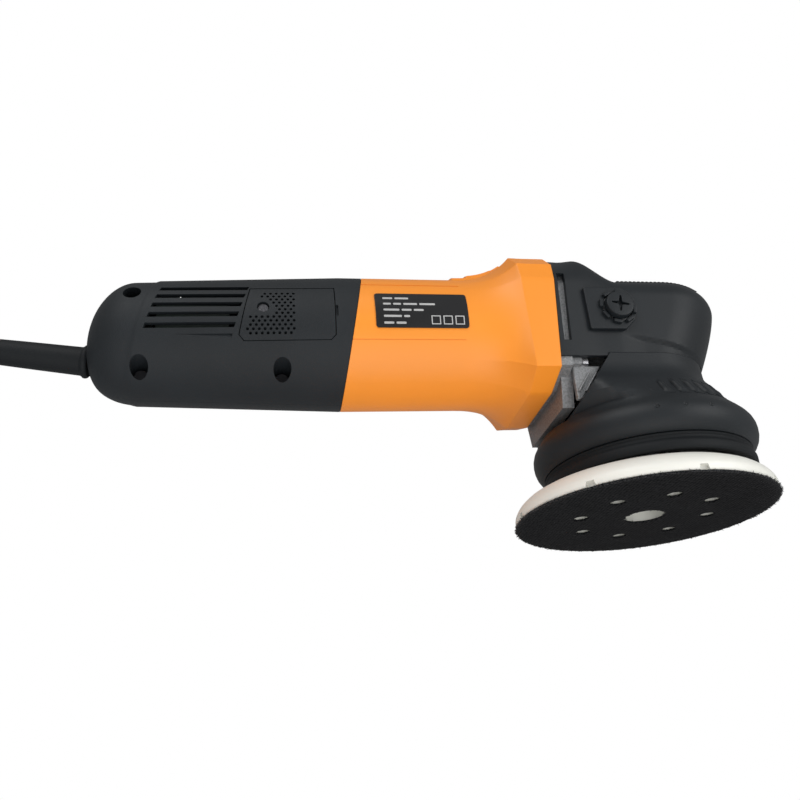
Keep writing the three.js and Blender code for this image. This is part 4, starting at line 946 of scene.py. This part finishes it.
def cover_point(along, up):
    """A point of the cover: along its plan outline, and up its wall and over its top."""
    tuck = max(0.0, 1 - up / 0.45) ** 1.25
    nose_x = NOSE_X - NOSE_TUCK * tuck
    rear_run = nose_x - COVER_REAR
    arc = math.pi * COVER_HALF
    at = along * (2 * rear_run + arc)
    if up < 0.45:
        inset, high = 0.0, up / 0.45
    elif up < 0.75:
        turn = (up - 0.45) / 0.3 * math.pi / 2
        inset, high = NOSE_FILLET * (1 - math.cos(turn)), 1 + math.sin(turn)
    else:
        inset, high = lerp(NOSE_FILLET, COVER_HALF, (up - 0.75) / 0.25), 2.0
    half = COVER_HALF - inset
    if at < rear_run:
        x, y = COVER_REAR + at, -half
    elif at > rear_run + arc:
        x, y = nose_x - (at - rear_run - arc), half
    else:
        turn = (at - rear_run) / COVER_HALF - math.pi / 2
        x, y = nose_x + half * math.cos(turn), half * math.sin(turn)
    rear = ease((-30 - x) / 27)
    low = cover_low(x)
    shoulder = NOSE_TOP - NOSE_FILLET
    if high <= 1:
        z = lerp(low, shoulder, high)
        fold = FOLD_Z - 0.22 * max(0, x + 20)
        y *= 1 - 0.05 * ease((x + 22) / 18) * ease((fold - z) / 2.5)
    else:
        z = shoulder + NOSE_FILLET * (high - 1)
        if rear > 0 and high < 2:
            share = math.asin(min(1, high - 1)) / (math.pi / 2)
            z = lerp(z, shoulder + share * NOSE_FILLET, rear)
    lift = ease((-12 - x) / 26) if x > -40 else 1.0
    top = lerp(NOSE_TOP, BLOCK_TOP, lift)
    base = 112.0
    if z > base:
        z = base + (z - base) * (top - base) / (NOSE_TOP - base)
    y *= 1 + 0.042 * rear
    return Vector((x + BAND_LEAN * (z - MOTOR_Z) * ease((-36 - x) / 21), y, z))


AIR_SLOT = ((-56.2, 93.5), (-51.6, 93.5), (-48.6, 140), (-53.4, 140))
BOSS_HOLE = 9.4
HANDLE_CENTRE = (HANDLE_X, 0, HANDLE_Z)


def add_cover():
    """The head's black cover, with an air slot and a boss hole on each side."""
    form = grid_form(220, 72, cover_point)
    bmesh.ops.recalc_face_normals(form, faces=form.faces)
    shell = loose_object(form)
    wall = shell.modifiers.new("wall", "SOLIDIFY")
    wall.thickness, wall.offset = COVER_WALL, -1
    form = settled(shell)
    bpy.data.objects.remove(shell)
    tools = []
    for side in SIDES:
        tools.append(plate(AIR_SLOT, beyond(side, 36)))
        tools.append(rod("Y", beyond(side, 30), BOSS_HOLE, HANDLE_CENTRE, 40))
    add_piece("cover_shell", carved(form, tools), "gloss_black", "head_cover", sharp=34)
    add_boss_plates()
    add_nose_ribs()


BOSS_FACE = 46
BOSS = ((-39, 129), (-39, 100.5), (-17, 100.5), (-10, 107), (-8, 115), (-9, 124), (-15, 129))


def add_boss_plates():
    """The flat bosses for a side handle, each with a ring of short teeth."""
    forms = []
    for side in SIDES:
        form = rounded(plate(BOSS, between(side, 41.2, BOSS_FACE)), 0.9)
        forms.append(carved(form, [rod("Y", (-60, 60), BOSS_HOLE, HANDLE_CENTRE, 40)]))
        y = side * BOSS_FACE - (0.4 if side == LEFT else 2.0)
        for turn in turns(8, 0.25):
            tooth = rounded(block((-2.6, 2.6), (0, 2.4), (9.0, 11.4)), 0.6, 2)
            forms.append(moved(tooth, (HANDLE_X, y, HANDLE_Z), (turn, "Y")))
    add_piece("boss_plates", joined(forms), "gloss_black")


def add_handle_plug(side):
    """The screwed plug of one side boss, with a crossed recess."""
    top = HANDLE_TOP
    profile = [
        (0, 36), (4.9, 36), (4.9, 46.3), (8.4, 46.3), (8.5, 46.6), (8.5, top - 1.3),
        (8.1, top - 0.4), (7.2, top), (0, top),
    ]  # fmt: skip
    arm = [
        (-5.4, -0.5), (-1.1, -1.1), (1.1, -1.1), (5.4, -0.5),
        (5.4, 0.5), (1.1, 1.1), (-1.1, 1.1), (-5.4, 0.5),
    ]  # fmt: skip
    form = turned([(r, side * y) for r, y in profile], 64, "Y", HANDLE_CENTRE)
    deep = between(side, top - 2.6, top + 2)
    crossed = (arm, [(-z, x) for x, z in arm])
    bars = [moved(plate(bar, deep), HANDLE_CENTRE, (0.16, "Y")) for bar in crossed]
    name = side_name(side)
    form = carved(form, bars, crossing=True)
    add_piece("side_plug_" + name, form, "gloss_black", "handle_plug_" + name, round_off=0.2)


def add_nose_ribs():
    """Low grip ribs across the top of the nose."""
    forms = []
    for k in range(20):
        x = -9.5 + 2.75 * k
        half = math.sqrt(COVER_HALF**2 - max(0, x - NOSE_X) ** 2)

        def place(u, v, x=x, half=half):
            y = lerp(4.5 - half, half - 4.5, v)
            edge = max(0.0, abs(y) - (half - NOSE_FILLET))
            drop = NOSE_FILLET - math.sqrt(max(0, NOSE_FILLET**2 - edge * edge))
            fade = ease(min(v, 1 - v) / 0.08)
            bump = math.sin(math.pi * u) ** 0.8
            z = NOSE_TOP - drop - 0.5 + (0.5 + 1.6 * fade) * bump
            return Vector((x + 1.7 * (u - 0.5), y, z))

        form = grid_form(8, 40, place, closed=False)
        bmesh.ops.solidify(form, geom=form.faces, thickness=0.5)
        forms.append(form)
    add_piece("nose_ribs", joined(forms), "gloss_black")


# --- shroud, skirt and pad
SHROUD_OUTSIDE = (
    (61.0, 29.3), (62.4, 30.2), (63.9, 31.8), (65.2, 34), (66.0, 36.8), (66.2, 39.5), (66.0, 42),
    (65.2, 44.6), (63.8, 47), (61.6, 49.6), (58.8, 52.6), (56.2, 55.6), (54, 58.8), (52.2, 62),
    (50.4, 65.2), (48.4, 68.2), (46.4, 71), (44.9, 74), (44.15, 77), (44.0, 80), (44.0, 85.4),
    (43.4, 86.1),
)  # fmt: skip
SHROUD_WIDEST = 66.2
SHROUD_WALL = 2.8
SHROUD_RIBS = 6


def add_casting_webs():
    """Curved webs of the casting that run down each side to the shroud."""
    sweep = [
        (-52, 85.5), (-45.4, 85.5), (-44.4, 79.6), (-34.4, 79.6), (-37.5, 75), (-42, 68.5),
        (-46, 62.8), (-49, 58.5), (-52, 58.5),
    ]  # fmt: skip
    forms = []
    for side in SIDES:
        forms.append(rounded(plate(sweep, between(side, 35.2, 38.8)), 0.9))
        for shift in (0.0, 4.2):
            arc = [(x - shift, z) for x, z in sweep[4:7]]
            arc += [(x - 1.6, z) for x, z in reversed(arc)]
            forms.append(rounded(plate(arc, between(side, 38.5, 40.0)), 0.6, 2))
    add_piece("casting_webs", joined(forms), "cast")


def shroud_radius(z):
    """The shroud's outside radius at a height."""
    for (r0, z0), (r1, z1) in zip(SHROUD_OUTSIDE, SHROUD_OUTSIDE[1:]):
        if z0 <= z <= z1:
            return lerp(r0, r1, (z - z0) / (z1 - z0))
    return SHROUD_OUTSIDE[-1][0]


def square_off(form):
    """Widens the upper rear of the turned shroud towards a straight-sided shape."""
    for v in form.verts:
        if v.co.x < -1e-3 and v.co.z > 50:
            reach = math.hypot(v.co.x, v.co.y)
            limit = SHROUD_WIDEST - (shroud_radius(min(v.co.z, 86)) - reach)
            square = min(reach * reach / max(1e-3, abs(v.co.y)), max(limit, reach))
            wide = lerp(reach, square, ease((v.co.z - 50) / 8)) / reach
            v.co.x, v.co.y = v.co.x * wide, v.co.y * wide


def casting_room():
    """The room that the flange and the casting take out of the shroud."""
    corners = flange_corners(0.98)
    rear = [Vector((BAND_FRONT_X - 2 + BAND_LEAN * z, y, MOTOR_Z + z)) for y, z in corners]
    room = ring_form([rear, [p + Vector((16.2, 0, 0)) for p in rear]])
    bmesh.ops.holes_fill(room, edges=room.edges)
    bmesh.ops.recalc_face_normals(room, faces=room.faces)
    return room


def add_shroud():
    """The shroud over the pad, open to the rear, with three dimples on each side."""
    inside = [
        (r - SHROUD_WALL, z + (0.1 if z < 80 else -3)) for r, z in reversed(SHROUD_OUTSIDE[:-1])
    ]
    profile = [*SHROUD_OUTSIDE, (36.8, 86.1), (36.8, 83), *inside]
    form = turned(closed_profile(profile), 144)
    square_off(form)
    rear_cut = [(-FAR, 51), (-55, 51), (-50, 58), (-30, 85), (-27, FAR), (-FAR, FAR)]
    tools = [plate(rear_cut, (-FAR, FAR)), casting_room()]
    for angle in (-106.8, -93.4, -79.8, 79.8, 93.4, 106.8):
        turn = math.radians(angle)
        dimple = bmesh.new()
        bmesh.ops.create_uvsphere(dimple, u_segments=20, v_segments=12, radius=1.9)
        tools.append(moved(dimple, (66.9 * math.cos(turn), 66.9 * math.sin(turn), 42.8)))
    form = carved(form, tools, crossing=True)
    add_piece("shroud_shell", form, "gloss_black", "shroud", sharp=34)
    ribs = []
    for k in range(SHROUD_RIBS):
        start = math.radians(lerp(-107, -62, k / (SHROUD_RIBS - 1)))
        for side in SIDES:

            def place(u, v, start=start, side=side):
                z = lerp(65.5, 52.5, v)
                swell = ease(min(v, 1 - v) / 0.3) * math.sin(math.pi * u) ** 0.7
                turn = start + (u - 0.5) * lerp(0.05, 0.1, v) + 0.06 * (v - 0.5)
                r = shroud_radius(z) - 0.4 + 1.9 * swell
                return Vector((r * math.cos(turn), side * -r * math.sin(turn), z))

            rib = grid_form(8, 16, place, closed=False)
            bmesh.ops.recalc_face_normals(rib, faces=rib.faces)
            bmesh.ops.solidify(rib, geom=rib.faces, thickness=0.5)
            ribs.append(rib)
    add_piece("shroud_ribs", joined(ribs), "gloss_black")


def add_skirt():
    """The rubber brake skirt between the shroud and the pad."""
    profile = [
        (53, 20.6), (59.5, 18.7), (61.2, 18.8), (61.9, 19.6), (62, 21), (62, 23), (61.5, 24.4),
        (60.5, 25.2), (60.1, 26), (60.1, 27.2), (60.7, 27.8), (60.9, 28.4), (60.6, 28.9),
        (59.8, 29), (53, 29),
    ]  # fmt: skip
    add_piece("skirt_ring", turned(closed_profile(profile), 144), "rubber", "brake_skirt")


HOLE_CIRCLE = 39.4
HOLE_RADIUS = 5.0
FACE_HOLE_RADIUS = HOLE_RADIUS - 0.3
RIM_TUFTS = 900


def hole_centres():
    """The eight holes' centres as [x, y]."""
    return [(PAD_X + HOLE_CIRCLE * math.cos(a), HOLE_CIRCLE * math.sin(a)) for a in turns(8)]


def hole_tools(radius):
    return [rod("Z", (-2, 26), radius, (x, y, 0)) for x, y in hole_centres()]


def add_backing_plate():
    """The white plate with its eight holes and eight notches round the rim."""
    profile = [
        (12, 1.3), (73.6, 1.3), (74.4, 1.6), (75, 2.6), (75, 5.2), (74.5, 6.8), (73.6, 8.4),
        (72.4, 10), (70.8, 11.5), (69, 12.9), (66, 14.4), (62, 15.7), (56, 16.8), (48, 17.4),
        (40, 17.5), (19, 17.5), (16.4, 18.6), (16, 24), (4.3, 24), (4.3, 17), (12, 17),
    ]  # fmt: skip
    form = turned(closed_profile(profile), 144, centre=(PAD_X, 0, 0))
    tools = hole_tools(HOLE_RADIUS)
    for turn in turns(8):
        wedge = plate([(-3, 1), (3, 1), (2.2, 4.6), (-2.2, 4.6)], (72.8, 90))
        tools.append(moved(wedge, (PAD_X, 0, 0), (turn - math.pi / 2, "Z")))
    form = carved(form, tools)
    add_piece("plate_moulding", form, "white", "backing_plate", body="pad", round_off=0.3)


def add_tuft(tufts, at, out, size):
    """Adds one short filament that points outwards."""
    spike = bmesh.new()
    bmesh.ops.create_cone(spike, cap_ends=True, segments=4, radius1=0.28, radius2=0.08, depth=size)
    bmesh.ops.translate(spike, verts=spike.verts, vec=(0, 0, size / 2 - 0.3))
    aim = out.to_track_quat("Z", "Y").to_matrix()
    bmesh.ops.rotate(spike, verts=spike.verts, cent=(0, 0, 0), matrix=aim)
    bmesh.ops.translate(spike, verts=spike.verts, vec=at)
    tufts.append(spike)


def add_hook_disc():
    """The hook face, with frayed filaments round its rim and its holes."""
    profile = [
        (12.0, 0.5), (12.5, 0.05), (74.2, 0.05), (75.2, 0.5), (75.3, 0.9), (75.0, 1.2),
        (12.0, 1.2),
    ]  # fmt: skip
    form = turned(closed_profile(profile), 144, centre=(PAD_X, 0, 0))
    form = carved(form, hole_tools(FACE_HOLE_RADIUS))
    add_piece("hook_face", form, "hooks", "hook_disc", body="pad")
    draw = random.Random(7)
    tufts = []
    for k in range(RIM_TUFTS):
        turn = math.tau * (k + draw.random()) / RIM_TUFTS
        c, s = math.cos(turn), math.sin(turn)
        out = Vector((c, s, 0))
        out += Vector((draw.uniform(-0.7, 0.7), draw.uniform(-0.7, 0.7), draw.uniform(-0.5, 0.7)))
        at = Vector((PAD_X + 75.0 * c, 75.0 * s, draw.uniform(0.2, 1.1)))
        add_tuft(tufts, at, out, draw.uniform(0.7, 1.9))
    holes = [(x, y, FACE_HOLE_RADIUS) for x, y in hole_centres()]
    for x, y, radius in [(PAD_X, 0, 12.0), *holes]:
        count = int(radius * 7)
        for k in range(count):
            turn = math.tau * (k + draw.random()) / count
            c, s = math.cos(turn), math.sin(turn)
            inward = Vector((-c, -s, draw.uniform(-0.2, 0.5)))
            at = Vector((x + radius * c, y + radius * s, draw.uniform(0.2, 0.9)))
            add_tuft(tufts, at, inward, draw.uniform(0.7, 1.8))
    add_piece("hook_edge", joined(tufts), "fuzz", body="pad", sharp=180)


# --- controls
def add_dial():
    """A knurled thumb wheel with plain numbers round it."""
    low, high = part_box("speed_dial")
    radius = (high.z - low.z) / 2 / MM
    centre = (((low.x + high.x) / 2 - SPINDLE_X) / MM, 0, (high.z / MM) - radius)
    rim = radius - 0.8
    profile = [(0, -3), (rim, -3), (radius, -2.4), (radius, 2.4), (rim, 3), (0, 3)]
    tools = []
    for turn in turns(40):
        nick = block((-1.2, 4), (-0.35, 0.35), (radius - 0.5, radius + 1))
        tools.append(moved(nick, centre, (turn, "X")))
    wheel = carved(turned(profile, 120, "X", centre), tools)
    pin = rod("X", (-7, 7), 2, centre, 24)
    add_piece("dial_wheel", joined([wheel, pin]), "gloss_black", "speed_dial", body="dial")
    marks = []
    for k in range(6):
        curve = bpy.data.curves.new("number", "FONT")
        curve.body = str(k + 1)
        curve.size, curve.extrude = 3.0, 0.06
        curve.align_x = curve.align_y = "CENTER"
        text = in_scene("number", curve)
        mark = settled(text)
        bpy.data.objects.remove(text)
        moved(mark, (-1.9, 0, radius + 0.02), (math.pi / 2, "Z"))
        marks.append(moved(mark, centre, (math.radians(-60 * k), "X")))
    add_piece("dial_numbers", joined(marks), "numbers", body="dial", sharp=60)


def add_slider():
    """The button of the slide switch, with five ridges and its stem."""
    low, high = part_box("switch_slider")
    x0, x1 = ((v - SPINDLE_X) / MM for v in (low.x, high.x))
    z = (low.z + high.z) / 2 / MM
    base = HOUSING_RADIUS + 0.3
    cap = rounded(block((x0, x1), (base, base + 3.0), (z - 6, z + 6)), 1.1, 4)
    ridges = [
        rounded(block((x, x + 1.4), (base + 2, base + 4.1), (z - 4.5, z + 4.5)), 0.4, 2)
        for x in (x0 + 5 + 3.0 * k for k in range(5))
    ]
    stem = block((x0 + 10, x0 + 18), (34.2, base + 1), (z - 2.7, z + 2.7))
    form = joined([cap, stem, *ridges])
    add_piece("slider_button", form, "gloss_black", "switch_slider", body="switch")


# --- carried pieces
CARRIED = {
    "cast": ("gear_case", "bearing_plate"),
    "steel": (
        "case_screw_right", "case_screw_left", "armature_shaft", "pinion", "rear_bearing",
        "front_bearing", "bevel_gear", "spindle", "upper_spindle_bearing",
        "lower_spindle_bearing", "orbit_bearing_low", "orbit_bearing_high", "pad_arbor",
    ),
    "dark_steel": (
        "casing_screw_1", "casing_screw_2", "casing_screw_3", "hatch_screw_right",
        "hatch_screw_left", "armature_core", "stator", "counterweight", "pad_bolt",
    ),
    "copper": (
        "armature_winding", "commutator", "field_coil_lower", "field_coil_upper",
        "brush_holder_right", "brush_holder_left",
    ),
    "carbon": ("carbon_brush_right", "carbon_brush_left"),
    "board": ("speed_controller",),
    "rubber": ("bearing_sleeve",),
    "white": ("switch_link",),
    "black": ("cord_clamp", "fan", "air_baffle", "switch_body"),
}  # fmt: skip


def dress_carried():
    """Gives the carried CAD meshes their finishes."""
    for finish, nodes in CARRIED.items():
        for node in nodes:
            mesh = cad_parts[node].data
            mesh.materials.clear()
            mesh.materials.append(FINISH[finish])


# --- stage
CAMERA_AT = (-0.0994, -0.4371, -0.1315)
CAMERA_TURN = (115.195, 4.472, -8.545)
CAMERA_LENS = 37.05


def add_camera():
    """The camera in front of the machine, a little below it."""
    data = bpy.data.cameras.new("camera")
    data.lens, data.sensor_width = CAMERA_LENS, 36
    data.clip_start = 0.01
    camera = in_scene("camera", data)
    camera.location = CAMERA_AT
    camera.rotation_euler = [math.radians(a) for a in CAMERA_TURN]
    bpy.context.scene.camera = camera


def mix_shaders(tree, factor, first, second, out):
    """Mixes two shader nodes by a factor into an output node."""
    mix = tree.nodes.new("ShaderNodeMixShader")
    for socket, value in zip(mix.inputs, (factor, first.outputs[0], second.outputs[0])):
        tree.links.new(value, socket)
    tree.links.new(mix.outputs[0], tree.nodes[out].inputs["Surface"])


def add_floor():
    """A pale floor that is seen from above only, and casts no shadow."""
    form = bmesh.new()
    bmesh.ops.create_grid(form, x_segments=1, y_segments=1, size=3)
    bmesh.ops.translate(form, verts=form.verts, vec=(0, 0, -0.0008))
    floor = loose_object(form, "floor")
    made = bpy.data.materials.new("pale floor")
    made.use_nodes = True
    tree = made.node_tree
    shader = tree.nodes["Principled BSDF"]
    shader.inputs["Base Color"].default_value = (0.82, 0.82, 0.82, 1)
    shader.inputs["Roughness"].default_value = 0.7
    see_through = tree.nodes.new("ShaderNodeBsdfTransparent")
    below = tree.nodes.new("ShaderNodeNewGeometry").outputs["Backfacing"]
    shadow = tree.nodes.new("ShaderNodeLightPath").outputs["Is Shadow Ray"]
    hidden = math_node(tree, "MAXIMUM", below, shadow)
    mix_shaders(tree, hidden, shader, see_through, "Material Output")
    floor.data.materials.append(made)


def add_light(name, at, target, size, power):
    """A square lamp aimed at a point."""
    data = bpy.data.lights.new(name, "AREA")
    data.shape, data.size, data.energy = "SQUARE", size, power
    light = in_scene(name, data)
    light.location = at
    light.rotation_euler = (Vector(target) - Vector(at)).to_track_quat("-Z", "Y").to_euler()


def add_world(settings):
    """Pale surroundings that look white to the camera."""
    world = bpy.data.worlds.new("studio")
    bpy.context.scene.world = world
    world.use_nodes = True
    tree = world.node_tree
    back, lit = tree.nodes["Background"], tree.nodes.new("ShaderNodeBackground")
    for node, strength in ((back, settings.ambient), (lit, 1.0)):
        node.inputs["Color"].default_value = (1, 1, 1, 1)
        node.inputs["Strength"].default_value = strength
    seen = tree.nodes.new("ShaderNodeLightPath").outputs["Is Camera Ray"]
    mix_shaders(tree, seen, back, lit, "World Output")
    bpy.context.scene.view_settings.view_transform = "Standard"


# --- settings
class PolisherSettings(bpy.types.PropertyGroup):
    cord_length: bpy.props.FloatProperty(
        name="Cord Length", description="Free length of the mains lead", default=3.0, unit="LENGTH"
    )
    cord_diameter: bpy.props.FloatProperty(
        name="Cord Diameter",
        description="Thickness of the mains lead",
        default=0.008,
        unit="LENGTH",
    )
    plastic_black: bpy.props.FloatVectorProperty(
        name="Black Plastic",
        description="Colour of the casing, cover and shroud",
        subtype="COLOR",
        default=(0.0075, 0.0098, 0.012),
    )
    housing_orange: bpy.props.FloatVectorProperty(
        name="Housing Orange",
        description="Colour of the motor housing",
        subtype="COLOR",
        default=(0.86, 0.275, 0.02),
    )
    plate_white: bpy.props.FloatVectorProperty(
        name="Plate White",
        description="Colour of the backing plate",
        subtype="COLOR",
        default=(0.86, 0.86, 0.8),
    )
    ambient: bpy.props.FloatProperty(
        name="Ambient Light", description="Strength of the pale surroundings", default=0.3, min=0.0
    )


class POLISHER_OT_stage(bpy.types.Operator):
    """Make the camera, floor, lights, surroundings and finishes"""

    bl_idname = "polisher.stage"
    bl_label = "Stage"

    def execute(self, context):
        make_finishes(context.scene.polisher)
        add_camera()
        add_floor()
        add_world(context.scene.polisher)
        add_light("key", (-0.5, -0.9, 1.1), (0, 0, 0.1), 0.9, 9)
        add_light("side", (0.9, -0.9, 0.35), (0.05, 0, 0.08), 0.7, 5)
        add_light("under", (0.0, -0.7, -0.75), (0.02, 0, 0.05), 1.2, 9)
        return {"FINISHED"}


class POLISHER_OT_lead(bpy.types.Operator):
    """Make the mains cord with its sleeve, coil, strap and plug"""

    bl_idname = "polisher.lead"
    bl_label = "Mains Lead"

    def execute(self, context):
        add_lead(context.scene.polisher)
        return {"FINISHED"}


class POLISHER_OT_casing(bpy.types.Operator):
    """Make the two casing halves and the brush hatches"""

    bl_idname = "polisher.casing"
    bl_label = "Rear Casing"

    def execute(self, context):
        for side in SIDES:
            add_casing_half(side)
            add_hatch(side)
        return {"FINISHED"}


class POLISHER_OT_housing(bpy.types.Operator):
    """Make the orange motor housing and its rating film"""

    bl_idname = "polisher.housing"
    bl_label = "Motor Housing"

    def execute(self, context):
        add_housing()
        add_label()
        return {"FINISHED"}


class POLISHER_OT_head(bpy.types.Operator):
    """Make the head cover, its bosses and the side plugs"""

    bl_idname = "polisher.head"
    bl_label = "Head"

    def execute(self, context):
        add_cover()
        for side in SIDES:
            add_handle_plug(side)
        return {"FINISHED"}


class POLISHER_OT_shroud(bpy.types.Operator):
    """Make the shroud and the skirt round the spindle"""

    bl_idname = "polisher.shroud"
    bl_label = "Shroud"

    def execute(self, context):
        add_shroud()
        add_skirt()
        add_casting_webs()
        return {"FINISHED"}


class POLISHER_OT_pad(bpy.types.Operator):
    """Make the backing plate and the hook face"""

    bl_idname = "polisher.pad"
    bl_label = "Pad"

    def execute(self, context):
        add_backing_plate()
        add_hook_disc()
        return {"FINISHED"}


class POLISHER_OT_controls(bpy.types.Operator):
    """Make the speed dial and the slide switch"""

    bl_idname = "polisher.controls"
    bl_label = "Controls"

    def execute(self, context):
        add_dial()
        add_slider()
        return {"FINISHED"}


class POLISHER_OT_carried(bpy.types.Operator):
    """Give the carried inner pieces their finishes"""

    bl_idname = "polisher.carried"
    bl_label = "Inner Pieces"

    def execute(self, context):
        dress_carried()
        return {"FINISHED"}


MAKERS = (
    POLISHER_OT_stage,
    POLISHER_OT_lead,
    POLISHER_OT_casing,
    POLISHER_OT_housing,
    POLISHER_OT_head,
    POLISHER_OT_shroud,
    POLISHER_OT_pad,
    POLISHER_OT_controls,
    POLISHER_OT_carried,
)


class POLISHER_PT_sidebar(bpy.types.Panel):
    """Lists the polisher's settings and makers"""

    bl_idname = "POLISHER_PT_sidebar"
    bl_label = "Polisher"
    bl_space_type = "VIEW_3D"
    bl_region_type = "UI"
    bl_category = "Polisher"

    def draw(self, context):
        for name in PolisherSettings.__annotations__:
            self.layout.prop(context.scene.polisher, name)
        for maker in MAKERS:
            self.layout.operator(maker.bl_idname)


CLASSES = (PolisherSettings, *MAKERS, POLISHER_PT_sidebar)


def register():
    for made in CLASSES:
        bpy.utils.register_class(made)
    bpy.types.Scene.polisher = bpy.props.PointerProperty(type=PolisherSettings)


def unregister():
    del bpy.types.Scene.polisher
    for made in reversed(CLASSES):
        bpy.utils.unregister_class(made)


def main():
    register()
    bpy.ops.polisher.stage()
    bpy.ops.polisher.lead()
    bpy.ops.polisher.casing()
    bpy.ops.polisher.housing()
    bpy.ops.polisher.head()
    bpy.ops.polisher.shroud()
    bpy.ops.polisher.pad()
    bpy.ops.polisher.controls()
    bpy.ops.polisher.carried()


if __name__ == "__main__":
    main()
